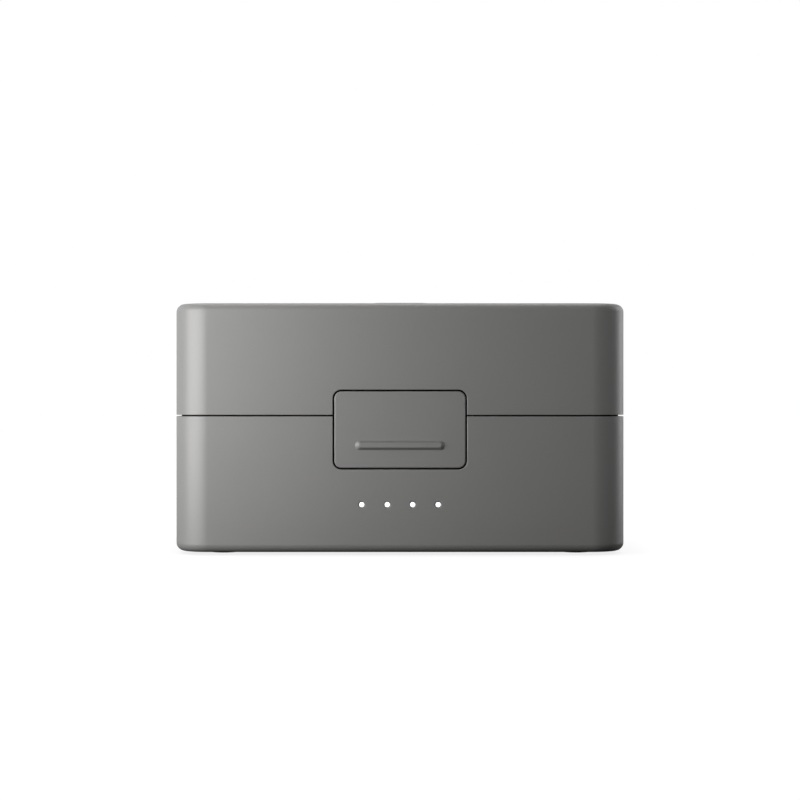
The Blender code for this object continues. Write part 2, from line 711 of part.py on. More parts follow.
def make_latch_spring(material, parent):
    curve = bpy.data.curves.new("latch_spring", "CURVE")
    curve.dimensions = "3D"
    curve.bevel_depth = SPRING_WIRE_RADIUS
    curve.bevel_resolution = 1
    curve.use_fill_caps = True
    points = spring_route()
    spline = curve.splines.new("POLY")
    spline.points.add(len(points) - 1)
    for point, place in zip(spline.points, points):
        point.co = (*(Vector(place) - parent.location), 1.0)
    curve.materials.append(material)
    spring = link("latch_spring", curve)
    spring.parent = parent
    return spring


def make_hinge_pin(material):
    half = HINGE_LENGTH / 2
    pin = rod("hinge_pin", HINGE_PIN_RADIUS, -half, half, "X", (HINGE_Y, SEAM_Z))
    return seat(pin, (0.0, HINGE_Y, SEAM_Z), material)


# Battery tray, packs and terminals


def tray_outline_block(name, inset, low_z, high_z):
    """The inside of the lower case seen from above, taken in, less the latch pocket."""
    block = prism(name, shell_outline(WALL + inset), low_z, high_z)
    half = RECESS_WIDTH / 2 + POCKET_WALL + inset
    low = (-half, FRONT_Y, low_z - OVERRUN)
    cut(block, box("pocket_notch", low, (half, POCKET_BACK_Y + inset, high_z + OVERRUN)))
    return block


def contact_slot_size():
    return TERMINAL_WIDTH + 2 * SLOT_MARGIN, TERMINAL_DEPTH + 2 * SLOT_MARGIN


def make_tray(material):
    flange_bottom = TRAY_FLANGE_Z - TRAY_FLANGE
    tray = tray_outline_block("battery_tray", FIT_GAP, flange_bottom, TRAY_FLANGE_Z)
    half = BAYS_WIDTH / 2 + TRAY_WALL
    low = (-half, BAY_FRONT_Y - TRAY_WALL, TRAY_FLOOR_Z)
    add(tray, box("wells", low, (half, BAY_BACK_Y + TRAY_WALL, TRAY_FLANGE_Z - TRAY_FLANGE / 2)))
    slot_width, slot_depth = contact_slot_size()
    for x in bay_xs():
        outline = rounded_rectangle(
            BAY_WIDTH, BAY_BACK_Y - BAY_FRONT_Y, PACK_CORNER + BAY_CLEARANCE, (x, PACK_MIDDLE_Y)
        )
        cut(tray, prism("bay", outline, TRAY_FLOOR_Z + TRAY_FLOOR, TRAY_FLANGE_Z + OVERRUN))
        low = (x - slot_width / 2, PACK_MIDDLE_Y - slot_depth / 2, TRAY_FLOOR_Z - OVERRUN)
        high = (x + slot_width / 2, PACK_MIDDLE_Y + slot_depth / 2, TRAY_FLOOR_Z + TRAY_FLOOR + OVERRUN)
        cut(tray, box("contact_slot", low, high))
    for _, x, y in column_places():
        hole = (flange_bottom - OVERRUN, TRAY_FLANGE_Z + OVERRUN)
        cut(tray, rod("screw_hole", PILOT_RADIUS, *hole, "Z", (x, y), SMALL_SIDES))
    return seat(tray, (0, 0, 0), material)


def pack_rings():
    """A pack standing on its own origin: flat underside, round upright edges and a rounded top edge."""
    middle = (0.0, 0.0)
    rings = [(rounded_rectangle(PACK_WIDTH, PACK_DEPTH, PACK_CORNER, middle), 0.0)]
    for i in range(EDGE_STEPS + 1):
        turn = math.radians(90 * i / EDGE_STEPS)
        inset = PACK_EDGE * (1 - math.cos(turn))
        outline = rounded_rectangle(
            PACK_WIDTH - 2 * inset, PACK_DEPTH - 2 * inset, PACK_CORNER - inset, middle
        )
        rings.append((outline, PACK_HEIGHT - PACK_EDGE * (1 - math.sin(turn))))
    return rings


def make_packs(material, terminal_material):
    pack = loft("pack", pack_rings())
    half = TERMINAL_WIDTH / 2
    depth = TERMINAL_DEPTH / 2
    low = (-half - SEAT_GAP, -depth - SEAT_GAP, -OVERRUN)
    cut(pack, box("terminal_seat", low, (half + SEAT_GAP, depth + SEAT_GAP, TERMINAL_THICK + SEAT_GAP)))
    terminal = box("terminal", (-half, -depth, 0.0), (half, depth, TERMINAL_THICK))
    places = [(side, (x, PACK_MIDDLE_Y, PACK_BOTTOM_Z)) for side, x in zip(SIDES, bay_xs())]
    copies(pack, [(f"battery_{side}", place) for side, place in places], material)
    copies(terminal, [(f"battery_terminals_{side}", place) for side, place in places], terminal_material)


# Lid liner and pads


def make_liner(material, parent):
    flange_top = LINER_FLANGE_Z + LINER_WALL
    liner = tray_outline_block("lid_liner", FIT_GAP, LINER_FLANGE_Z, flange_top)
    half = LINER_INNER_WIDTH / 2
    low = (-half - LINER_WALL, LINER_FRONT_Y - LINER_WALL, LINER_FLANGE_Z)
    high = (half + LINER_WALL, LINER_BACK_Y + LINER_WALL, LINER_CEILING_Z + LINER_WALL)
    add(liner, box("cup", low, high))
    low = (-half, LINER_FRONT_Y, LINER_FLANGE_Z - OVERRUN)
    cut(liner, box("cup_inside", low, (half, LINER_BACK_Y, LINER_CEILING_Z)))
    for _, x, y in column_places():
        hole = (LINER_FLANGE_Z - OVERRUN, flange_top + OVERRUN)
        cut(liner, rod("screw_hole", PILOT_RADIUS, *hole, "Z", (x, y), SMALL_SIDES))
    return seat(liner, parent.location, material, parent)


def make_pads(material, parent):
    outline = rounded_rectangle(PACK_WIDTH - 2 * PAD_INSET, PACK_DEPTH - 2 * PAD_INSET, PACK_CORNER)
    pad = prism("pad", outline, 0.0, PAD_THICK)
    places = [(f"lid_pad_{side}", (x, PACK_MIDDLE_Y, PAD_BOTTOM_Z)) for side, x in zip(SIDES, bay_xs())]
    copies(pad, places, material, parent)


# Circuit board, lights and socket


def make_board(material):
    low = (-BOARD_WIDTH / 2, BOARD_FRONT_Y, BOARD_Z)
    board = box("main_board", low, (BOARD_WIDTH / 2, BOARD_BACK_Y, BOARD_TOP_Z))
    for _, x, y in board_screw_places():
        ends = (BOARD_Z - OVERRUN, BOARD_TOP_Z + OVERRUN)
        cut(board, rod("hole", PILOT_RADIUS, *ends, "Z", (x, y), SMALL_SIDES))
    return seat(board, (0.0, MIDDLE_Y, BOARD_Z), material)


def make_contact_blocks(material):
    """Connector blocks whose blades reach up through the bay floors to the packs' terminals."""
    width = TERMINAL_WIDTH / 2
    depth = TERMINAL_DEPTH / 2
    block = box("block", (-width, -depth, 0.0), (width, depth, BLOCK_HEIGHT))
    blade_top = PACK_BOTTOM_Z - FIT_GAP - BOARD_TOP_Z - SEAT_GAP
    for i in range(BLADE_COUNT):
        x = (i - (BLADE_COUNT - 1) / 2) * BLADE_PITCH
        low = (x - BLADE_WIDTH / 2, -BLADE_DEPTH / 2, BLOCK_HEIGHT / 2)
        add(block, box("blade", low, (x + BLADE_WIDTH / 2, BLADE_DEPTH / 2, blade_top)))
    base_z = BOARD_TOP_Z + SEAT_GAP
    places = [(f"contact_block_{side}", (x, PACK_MIDDLE_Y, base_z)) for side, x in zip(SIDES, bay_xs())]
    copies(block, places, material)


def make_board_parts(chip_material, coil_material, capacitor_material):
    base_z = BOARD_TOP_Z + SEAT_GAP
    y = (PACK_MIDDLE_Y + BOARD_FRONT_Y) / 2
    half = CHIP_SIDE / 2
    chip = box("charge_chip", (-half, y - half, base_z), (half, y + half, base_z + CHIP_HEIGHT))
    seat(chip, (0.0, y, base_z), chip_material)
    side = rounded_rectangle(COIL_SIDE, COIL_SIDE, COIL_SIDE / 4, (BAY_PITCH / 2, y))
    coil = prism("charge_coil", side, base_z, base_z + COIL_HEIGHT)
    seat(coil, (BAY_PITCH / 2, y, base_z), coil_material)
    can = rod("can", CAPACITOR_RADIUS, 0.0, CAPACITOR_HEIGHT, "Z", (0.0, 0.0))
    xs = [-BAY_PITCH / 2 + sign * CAPACITOR_PITCH / 2 for sign in (-1, 1)]
    places = [(f"capacitor_{i + 1}", (x, y, base_z)) for i, x in enumerate(xs)]
    copies(can, places, capacitor_material)


def make_lights(guide_material, emitter_material, board_material):
    half = LIGHT_SPAN / 2 + LIGHT_BAR_OVERHANG
    low = (-half, LIGHT_BAR_Y, LIGHT_Z - LIGHT_BAR_HEIGHT / 2)
    high = (half, LIGHT_BAR_Y + LIGHT_BAR_THICK, LIGHT_Z + LIGHT_BAR_HEIGHT / 2)
    guide = box("light_guide", low, high)
    for x in light_xs():
        ends = (FRONT_Y + LIGHT_RECESS, LIGHT_BAR_Y + LIGHT_BAR_THICK / 2)
        add(guide, rod("prong", LIGHT_PRONG_RADIUS, *ends, "Y", (x, LIGHT_Z)))
    seat(guide, (0.0, FRONT_Y, LIGHT_Z), guide_material)
    half_width = EMITTER_WIDTH / 2
    half_height = EMITTER_HEIGHT / 2
    emitter = box("emitter", (-half_width, 0.0, -half_height), (half_width, EMITTER_THICK, half_height))
    places = [(f"light_emitter_{i + 1}", (x, EMITTER_Y, LIGHT_Z)) for i, x in enumerate(light_xs())]
    copies(emitter, places, emitter_material)
    half = LIGHT_SPAN / 2 + LIGHT_BOARD_OVERHANG
    low = (-half, LIGHT_BOARD_Y, BOARD_Z)
    high = (half, LIGHT_BOARD_Y + LIGHT_BOARD_THICK, LIGHT_Z + LIGHT_BOARD_ABOVE)
    seat(box("light_board", low, high), (0.0, LIGHT_BOARD_Y, BOARD_Z), board_material)


def make_socket(material):
    mouth = BACK_Y - SOCKET_RECESS
    back = mouth - SOCKET_LENGTH
    centre = (0.0, SOCKET_Z)
    shell = prism(
        "charge_socket",
        rounded_rectangle(SOCKET_WIDTH, SOCKET_HEIGHT, SOCKET_CORNER, centre),
        back,
        mouth,
        "Y",
    )
    inside = rounded_rectangle(
        SOCKET_WIDTH - 2 * SOCKET_SKIN,
        SOCKET_HEIGHT - 2 * SOCKET_SKIN,
        SOCKET_CORNER - SOCKET_SKIN,
        centre,
    )
    cut(shell, prism("cavity", inside, back + SOCKET_FLOOR, mouth + OVERRUN, "Y"))
    half = SOCKET_TONGUE_WIDTH / 2
    thick = SOCKET_TONGUE_THICK / 2
    low = (-half, back + SOCKET_FLOOR / 2, SOCKET_Z - thick)
    add(shell, box("tongue", low, (half, mouth - SOCKET_TONGUE_SETBACK, SOCKET_Z + thick)))
    return seat(shell, (0.0, mouth, SOCKET_Z), material)


# Fasteners and feet


def screw_pattern(way, length):
    """A pan-head screw whose head bears at its origin, its shaft running down (way -1) or up (way 1)."""
    under = way * length
    top = -way * SCREW_HEAD_HEIGHT
    drive = top + way * SCREW_DRIVE_DEPTH
    shaft = circle(SCREW_RADIUS, SMALL_SIDES)
    head = circle(SCREW_HEAD_RADIUS, SMALL_SIDES)
    socket = circle(SCREW_DRIVE_RADIUS, SMALL_SIDES)
    rings = [(shaft, under), (shaft, 0.0), (head, 0.0), (head, top), (socket, top), (socket, drive)]
    return loft("screw", rings)


def make_screws(material, lid_axis):
    tray_z = TRAY_FLANGE_Z + SEAT_GAP
    places = [(f"tray_screw_{n}", (x, y, tray_z)) for n, x, y in column_places()]
    copies(screw_pattern(-1, SCREW_LENGTH), places, material)
    board_z = BOARD_TOP_Z + SEAT_GAP
    places = [(f"board_screw_{n}", (x, y, board_z)) for n, x, y in board_screw_places()]
    copies(screw_pattern(-1, BOARD_SCREW_LENGTH), places, material)
    liner_z = LINER_FLANGE_Z - SEAT_GAP
    places = [(f"liner_screw_{n}", (x, y, liner_z)) for n, x, y in column_places()]
    copies(screw_pattern(1, SCREW_LENGTH), places, material, lid_axis)


def make_feet(material):
    top = UNDERSIDE_Z + FOOT_RECESS - SEAT_GAP
    foot = rod("foot", FOOT_RADIUS, 0.0, top, "Z", (0.0, 0.0))
    copies(foot, [(f"foot_{n}", (x, y, 0.0)) for n, x, y in foot_places()], material)


def main():
    for thing in list(bpy.data.objects):
        bpy.data.objects.remove(thing)
    case_grey = finish("case_grey", (0.17, 0.17, 0.165), 0.5)
    inner_black = finish("inner_black", (0.025, 0.025, 0.026), 0.6)
    pack_grey = finish("pack_grey", (0.06, 0.06, 0.062), 0.5)
    gold = finish("contact_gold", (0.75, 0.55, 0.22), 0.3, 1.0)
    steel = finish("steel", (0.55, 0.55, 0.56), 0.3, 1.0)
    rubber = finish("foot_rubber", (0.015, 0.015, 0.015), 0.8)
    foam = finish("pad_foam", (0.03, 0.03, 0.03), 0.95)
    clear = finish("light_clear", (0.9, 0.9, 0.88), 0.35)
    board_green = finish("board_green", (0.02, 0.12, 0.06), 0.5)
    ceramic = finish("part_black", (0.02, 0.02, 0.02), 0.4)

    lid_axis = axis_empty("lid_hinge_axis", (0.0, HINGE_Y, SEAM_Z))
    latch_axis = axis_empty("latch_pivot_axis", (0.0, PIVOT_Y, PIVOT_Z))

    make_lower_case(case_grey)
    make_hinge_pin(steel)
    make_tray(inner_black)
    make_packs(pack_grey, gold)
    make_board(board_green)
    make_contact_blocks(gold)
    make_board_parts(ceramic, ceramic, steel)
    make_lights(clear, clear, board_green)
    make_socket(steel)
    make_feet(rubber)

    make_lid_cover(case_grey, lid_axis)
    make_badge(case_grey, lid_axis)
    make_liner(inner_black, lid_axis)
    make_pads(foam, lid_axis)
    make_latch_pin(steel, lid_axis)
    make_latch_spring(steel, lid_axis)
    make_screws(steel, lid_axis)
    make_latch_lever(case_grey, latch_axis)


main()
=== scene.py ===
"""Finished looks of the battery charging case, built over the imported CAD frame.

Laid out as a Blender add-on and run as a script. Units are metres, +Z is up and -Y is the front.
"""

import json
import math

import bmesh
import bpy
from bpy.props import FloatProperty, FloatVectorProperty, PointerProperty
from mathutils import Matrix, Vector


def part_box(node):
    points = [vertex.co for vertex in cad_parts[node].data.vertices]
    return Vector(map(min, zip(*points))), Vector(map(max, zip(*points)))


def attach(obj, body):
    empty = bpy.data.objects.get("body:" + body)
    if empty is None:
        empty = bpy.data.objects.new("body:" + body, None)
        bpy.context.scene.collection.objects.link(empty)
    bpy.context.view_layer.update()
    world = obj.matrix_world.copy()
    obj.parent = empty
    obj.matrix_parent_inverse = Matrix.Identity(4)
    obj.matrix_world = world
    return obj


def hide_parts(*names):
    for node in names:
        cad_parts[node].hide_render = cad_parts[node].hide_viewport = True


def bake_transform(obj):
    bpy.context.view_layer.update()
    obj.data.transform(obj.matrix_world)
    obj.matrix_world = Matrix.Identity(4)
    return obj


bl_info = {
    "name": "Battery charging case",
    "version": (1, 0, 0),
    "blender": (4, 5, 0),
    "location": "3D View > Sidebar > Charging case",
    "description": "Builds the shells, latch, packs, finishes and studio of a battery charging case",
    "category": "Object",
}

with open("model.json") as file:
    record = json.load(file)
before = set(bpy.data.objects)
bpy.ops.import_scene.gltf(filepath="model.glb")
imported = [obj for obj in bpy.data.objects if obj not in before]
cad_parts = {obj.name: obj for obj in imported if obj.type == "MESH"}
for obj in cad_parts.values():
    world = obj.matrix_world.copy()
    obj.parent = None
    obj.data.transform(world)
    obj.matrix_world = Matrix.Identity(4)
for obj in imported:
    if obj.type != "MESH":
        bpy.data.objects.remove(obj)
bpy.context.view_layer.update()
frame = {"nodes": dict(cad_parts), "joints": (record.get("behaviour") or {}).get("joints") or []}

# Places read from the frame
JOINTS = {joint["name"]: joint for joint in frame["joints"]}
HINGE = Vector(JOINTS["lid_hinge"]["pos_m"])
PIVOT = Vector(JOINTS["latch_pivot"]["pos_m"])
LOWER_LOW, LOWER_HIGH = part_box("lower_case")
LATCH_LOW, LATCH_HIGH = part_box("latch_lever")
SPRING_LOW, SPRING_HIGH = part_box("latch_spring")
TRAY_LOW, TRAY_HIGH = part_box("battery_tray")
LINER_LOW, LINER_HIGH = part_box("lid_liner")
GUIDE_LOW, GUIDE_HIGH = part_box("light_guide")
SOCKET_LOW, SOCKET_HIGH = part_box("charge_socket")
BADGE_LOW, BADGE_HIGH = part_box("lid_badge")
HINGE_PIN_LOW, HINGE_PIN_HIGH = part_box("hinge_pin")
FRONT_Y = LOWER_LOW.y
UNDERSIDE_Z = LOWER_LOW.z
TOP_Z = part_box("lid_cover")[1].z
SEAM_Z = HINGE.z
HALF_WIDTH = LOWER_HIGH.x
SIDES = ("left", "middle", "right")
ENDS = ("front_left", "front_right", "back_left", "back_right")
PACKS = {side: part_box(f"battery_{side}") for side in SIDES}
EMITTER_NODES = [f"light_emitter_{i}" for i in (1, 2, 3, 4)]
EMITTERS = [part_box(node) for node in EMITTER_NODES]

# Facets on round shapes
CORNER_STEPS = 20
EDGE_STEPS = 10
SMALL_STEPS = 4
ROUND_SIDES = 48
WIRE_RESOLUTION = 3

# Edges with a larger angle are shaded sharp, or rounded by soften
SHARP_ANGLE = math.radians(38)
SOFTEN_ANGLE = math.radians(40)
SOFTEN_SEGMENTS = 2
FLAT_FACE_WEIGHT = 80

# Points of a wire that are closer than this share of its radius become one
MERGE_SHARE = 0.01

# Corners of an outline keep at least this radius
LEAST_RADIUS = 0.00001

# A cutter runs this far past the face that it starts from
OVERRUN = 0.001

# A test for the place of a face allows this much
FACE_SLACK = 0.00002

AXES = {
    "X": lambda u, v, along: (along, u, v),
    "Y": lambda u, v, along: (u, along, v),
    "Z": lambda u, v, along: (u, v, along),
}


def length(name, description, default):
    """A size in metres that the panel shows."""
    return FloatProperty(name=name, description=description, default=default, unit="LENGTH", precision=5)


def colour(name, description, default):
    """A linear colour that the panel shows."""
    return FloatVectorProperty(
        name=name, description=description, default=default, subtype="COLOR", size=3, min=0.0, max=1.0
    )


def power(name, description, default):
    """A lamp's power in watts that the panel shows."""
    return FloatProperty(name=name, description=description, default=default, unit="POWER", min=0.0)


class CaseSizes(bpy.types.PropertyGroup):
    wall: length("Wall", "Thickness of both shells", 0.0022)
    corner: length("Corner", "Radius of the upright corners", 0.0077)
    edge: length("Edge", "Radius of the top and bottom edges", 0.0018)
    seam: length("Seam", "Gap between lid and lower case", 0.00034)
    rim_round: length("Rim round", "Radius of the edges at the seam", 0.00008)
    tongue_wall: length("Tongue wall", "Thickness of the lip inside the seam", 0.0010)
    tongue_rise: length("Tongue rise", "Height of the lip above the lid's rim", 0.0010)
    hinge_standoff: length("Hinge standoff", "Hinge pin behind the back wall", 0.0022)
    hinge_radius: length("Knuckle radius", "Radius of the hinge knuckles", 0.0019)
    hinge_arm: length("Hinge arm", "Height of the arm that carries a knuckle", 0.0046)
    fit_gap: length("Fit gap", "Gap between pieces that fit together", 0.0003)


class LatchSizes(bpy.types.PropertyGroup):
    thick: length("Plate", "Thickness of the latch plate", 0.0020)
    corner: length("Corner", "Corner radius of the plate", 0.0016)
    gap: length("Gap", "Gap round the plate", 0.00031)
    edge: length("Edge", "Radius of the plate's front edge", 0.00028)
    mouth: length("Mouth", "Radius of the recess's front edge", 0.00020)
    skin: length("Skin", "Depth of the recess's round corners in the lid", 0.0003)
    pocket_wall: length("Pocket wall", "Wall round the recess", 0.0012)
    barrel: length("Barrel", "Radius of the barrel on the pin", 0.0017)
    rib_length: length("Rib length", "Length of the finger rib", 0.0198)
    rib_height: length("Rib height", "Height of the finger rib at its foot", 0.00204)
    rib_below: length("Rib drop", "Middle of the rib's foot below the seam", 0.00655)
    rib_slope: length("Rib side", "Width of the rib's sloped sides", 0.00054)
    rib_end: length("Rib end", "Length of the rib's sloped ends", 0.00092)
    rib_lift: length("Rib lift", "Crest above the middle of the rib's foot", 0.00008)


class FinishColours(bpy.types.PropertyGroup):
    case: colour("Case", "Grey of the outer shells", (0.158, 0.1578, 0.1530))
    inner: colour("Inner", "Tray and liner", (0.022, 0.022, 0.023))
    pack: colour("Pack", "Battery packs", (0.050, 0.050, 0.052))
    # Black of the moulded parts, also used as the painted shade in the seam and the latch pocket.
    rubber: colour("Rubber", "Seal, pocket lining and moulded parts", (0.012, 0.012, 0.012))
    steel: colour("Steel", "Pins, screws and spring", (0.56, 0.56, 0.57))
    board: colour("Board", "Circuit boards", (0.012, 0.085, 0.045))


class StageSettings(bpy.types.PropertyGroup):
    camera_distance: length("Camera distance", "Camera to the front face", 0.4153)
    camera_height: length("Camera height", "Camera above the floor", 0.03417)
    lens: FloatProperty(name="Lens", description="Focal length", default=85.0, unit="CAMERA")
    ambient: FloatProperty(name="Ambient", description="World light on the object", default=0.03, min=0.0)
    key: power("Key", "Near lamp at the left", 0.266)
    front: power("Front", "Near lamp at the front left", 0.064)
    fill: power("Fill", "Weak lamp at the front right", 0.045)
    side: power("Side", "Tall lamp at the back right", 0.99)
    top: power("Top", "Soft lamp above the back", 1.65)


GROUPS = {
    "case_sizes": CaseSizes,
    "latch_sizes": LatchSizes,
    "finish_colours": FinishColours,
    "stage_settings": StageSettings,
}


def case_sizes():
    return bpy.context.scene.case_sizes


def latch_sizes():
    return bpy.context.scene.latch_sizes


# Outlines


def arc(centre, radius, start, end, steps):
    """Points on an arc between two angles in degrees, both ends included."""
    angles = [math.radians(start + (end - start) * i / steps) for i in range(steps + 1)]
    return [(centre[0] + radius * math.cos(a), centre[1] + radius * math.sin(a)) for a in angles]


def circle(radius, centre=(0.0, 0.0)):
    return arc(centre, radius, 0, 360, ROUND_SIDES)[:-1]


def middle(low, high):
    """The point halfway between two corners."""
    return [(a + b) / 2 for a, b in zip(low, high)]


def rounded_rectangle(width, height, radius, centre):
    across = width / 2 - radius
    up = height / 2 - radius
    points = []
    for sign_u, sign_v, start in ((1, 1, 0), (-1, 1, 90), (-1, -1, 180), (1, -1, 270)):
        corner = (centre[0] + sign_u * across, centre[1] + sign_v * up)
        points += arc(corner, radius, start, start + 90, CORNER_STEPS)
    return points


def rounded_box_outline(low, high, radius, inset=0.0):
    """Rounded rectangle between two corners, taken in by an even distance."""
    size = (high[0] - low[0] - 2 * inset, high[1] - low[1] - 2 * inset)
    return rounded_rectangle(*size, max(radius - inset, LEAST_RADIUS), middle(low, high))


def rectangle(low, high):
    return [(low[0], low[1]), (high[0], low[1]), (high[0], high[1]), (low[0], high[1])]


def round_over(inset, height, radius, start, end, steps=SMALL_STEPS):
    """Profile points (inset, height) on an arc. Angle 0 points outwards and 90 up."""
    return [(inset - u, height + v) for u, v in arc((0.0, 0.0), radius, start, end, steps)]


# Meshes


def link(name, data):
    made = bpy.data.objects.new(name, data)
    bpy.context.scene.collection.objects.link(made)
    return made


def settled(name, shape):
    """A new object that takes over a finished bmesh."""
    mesh = bpy.data.meshes.new(name)
    shape.to_mesh(mesh)
    shape.free()
    return link(name, mesh)


def evaluated(thing):
    """The mesh that an object's modifiers or curve settings give."""
    bpy.context.view_layer.update()
    graph = bpy.context.evaluated_depsgraph_get()
    return bpy.data.meshes.new_from_object(thing.evaluated_get(graph))


def loft(name, rings, axis="Z"):
    """Closed mesh through outlines of equal point count, each with its place along the axis."""
    place = AXES[axis]
    shape = bmesh.new()
    loops = [[shape.verts.new(place(u, v, along)) for u, v in outline] for outline, along in rings]
    for lower, upper in zip(loops, loops[1:]):
        for i, corner in enumerate(lower):
            j = (i + 1) % len(lower)
            shape.faces.new((corner, lower[j], upper[j], upper[i]))
    shape.faces.new(reversed(loops[0]))
    shape.faces.new(loops[-1])
    bmesh.ops.recalc_face_normals(shape, faces=shape.faces)
    return settled(name, shape)


def profiled(name, outline, profile, axis="Z"):
    """Mesh through outline(inset) at each (inset, place along the axis) of a profile."""
    return loft(name, [(outline(inset), along) for inset, along in profile], axis)


def prism(name, outline, start, end, axis="Z"):
    return loft(name, [(outline, start), (outline, end)], axis)


def box(name, low, high):
    return prism(name, rectangle(low[:2], high[:2]), low[2], high[2])


def rod(name, radius, start, end, axis, centre):
    return prism(name, circle(radius, centre), start, end, axis)


def soften(thing, width):
    """Rounds every edge that is sharper than SOFTEN_ANGLE."""
    shape = bmesh.new()
    shape.from_mesh(thing.data)
    edges = [e for e in shape.edges if e.is_manifold and e.calc_face_angle() > SOFTEN_ANGLE]
    bmesh.ops.bevel(
        shape,
        geom=edges,
        offset=width,
        segments=SOFTEN_SEGMENTS,
        profile=0.5,
        affect="EDGES",
        clamp_overlap=True,
    )
    shape.to_mesh(thing.data)
    shape.free()
    return thing


def wire(name, route, radius):
    """Round wire through a line of points."""
    curve = bpy.data.curves.new(name, "CURVE")
    curve.dimensions = "3D"
    curve.bevel_depth = radius
    curve.bevel_resolution = WIRE_RESOLUTION
    curve.use_fill_caps = True
    spline = curve.splines.new("POLY")
    spline.points.add(len(route) - 1)
    for point, place in zip(spline.points, route):
        point.co = (*place, 1.0)
    bent = link(name, curve)
    shape = bmesh.new()
    shape.from_mesh(evaluated(bent))
    bpy.data.objects.remove(bent)
    bmesh.ops.remove_doubles(shape, verts=shape.verts, dist=radius * MERGE_SHARE)
    bmesh.ops.recalc_face_normals(shape, faces=shape.faces)
    return settled(name, shape)


def combine(target, tools, operation):
    """Adds the tools to the target, or takes them away, and removes them from the scene."""
    for tool in tools:
        modifier = target.modifiers.new(operation, "BOOLEAN")
        modifier.operation = operation
        modifier.solver = "EXACT"
        modifier.object = tool
        mesh = evaluated(target)
        target.modifiers.clear()
        target.data = mesh
        bpy.data.objects.remove(tool)
    return target


def add(target, *tools):
    return combine(target, tools, "UNION")


def cut(target, *tools):
    return combine(target, tools, "DIFFERENCE")


def join(name, things):
    """One object from several, each keeping its own closed mesh and materials."""
    shape = bmesh.new()
    materials = []
    for thing in things:
        start = len(shape.faces)
        shape.from_mesh(thing.data)
        shape.faces.ensure_lookup_table()
        own = list(thing.data.materials)
        for face in shape.faces[start:]:
            finish = own[face.material_index]
            if finish not in materials:
                materials.append(finish)
            face.material_index = materials.index(finish)
        bpy.data.objects.remove(thing)
    joined = settled(name, shape)
    for finish in materials:
        joined.data.materials.append(finish)
    return joined


def flare(name, outline, face, mouth, depth, axis):
    """Cutter for a hole whose mouth is rounded.

    outline(offset) gives the hole, grown by an offset. The depth is signed and leads into the solid.
    """
    way = 1 if depth > 0 else -1
    rings = [(outline(mouth), face - way * OVERRUN)]
    for i in range(SMALL_STEPS + 1):
        turn = math.radians(90 * i / SMALL_STEPS)
        along = face + way * mouth * (1 - math.cos(turn))
        rings.append((outline(mouth * (1 - math.sin(turn))), along))
    rings.append((outline(0.0), face + depth))
    return loft(name, rings, axis)


def slot_hole(name, low, high, corner, face, mouth, depth, axis="Z", gap=0.0):
    """Flared cutter round the box between two corners, with a gap on all sides."""
    return flare(
        name,
        lambda offset: rounded_box_outline(low, high, corner, -gap - offset),
        face,
        mouth,
        depth,
        axis,
    )


def round_hole(name, radius, centre, face, mouth, depth, axis="Z"):
    return flare(name, lambda offset: circle(radius + offset, centre), face, mouth, depth, axis)


def smooth(thing):
    """Smooth shading that keeps flat faces flat and sharp edges sharp."""
    thing.data.shade_smooth()
    thing.data.set_sharp_from_angle(angle=SHARP_ANGLE)
    weighted = thing.modifiers.new("flat faces", "WEIGHTED_NORMAL")
    weighted.keep_sharp = True
    weighted.weight = FLAT_FACE_WEIGHT
    return thing


def dress(thing, material):
    thing.data.materials.clear()
    thing.data.materials.append(material)
    return thing


def paint(thing, material, chosen):
    """Gives the faces that a test picks out a further material."""
    thing.data.materials.append(material)
    index = len(thing.data.materials) - 1
    for face in thing.data.polygons:
        if chosen(face):
            face.material_index = index


def fit(thing, body, slot, *nodes):
    """Puts a finished piece in place of CAD nodes, on the body that carries them."""
    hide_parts(*nodes)
    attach(thing, body)
    return thing


def set_in(pattern, name, body, slot, node, height=None):
    """Fits a copy of a pattern in the middle of a node's box, on the box's floor or at a height."""
    low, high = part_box(node)
    across, along, _ = middle(low, high)
    piece = smooth(link(name, pattern.data))
    piece.location = (across, along, low.z if height is None else height)
    return fit(piece, body, slot, node)


def recoat(node, material):
    """Gives a CAD node that keeps its shape a finished material."""
    return smooth(dress(frame["nodes"][node], material))


# Materials


class Signal:
    """A shader socket whose arithmetic adds Math nodes."""

    def __init__(self, nodes, socket):
        self.nodes = nodes
        self.socket = socket

    def math(self, operation, first, second):
        return self.nodes.node("ShaderNodeMath", {"operation": operation}, {0: first, 1: second})

    def __add__(self, other):
        return self.math("ADD", self, other)

    def __radd__(self, other):
        return self.math("ADD", other, self)

    def __sub__(self, other):
        return self.math("SUBTRACT", self, other)

    def __rsub__(self, other):
        return self.math("SUBTRACT", other, self)

    def __mul__(self, other):
        return self.math("MULTIPLY", self, other)

    def __rmul__(self, other):
        return self.math("MULTIPLY", other, self)

    def __gt__(self, other):
        return self.math("GREATER_THAN", self, other)


class Nodes:
    """Adds nodes to one node tree."""

    def __init__(self, tree):
        self.tree = tree

    def link(self, socket, value):
        """Sets a socket to a value, or links a signal to it."""
        if isinstance(value, Signal):
            self.tree.links.new(value.socket, socket)
        else:
            socket.default_value = value

    def node(self, kind, settings, inputs, output=0):
        """A node of any kind: its settings first, then the values or links of its sockets."""
        made = self.tree.nodes.new(kind)
        for name, value in settings.items():
            setattr(made, name, value)
        for socket, value in inputs.items():
            self.link(made.inputs[socket], value)
        return Signal(self, made.outputs[output])

    def seen_rays(self):
        """1 for the rays that see the background itself: camera, glossy and transmission rays."""
        names = ("Is Camera Ray", "Is Glossy Ray", "Is Transmission Ray")
        camera, glossy, transmission = [self.node("ShaderNodeLightPath", {}, {}, n) for n in names]
        return camera + glossy + transmission


WHITE = (1.0, 1.0, 1.0, 1.0)
UNSTRETCHED = (1.0, 1.0, 1.0)


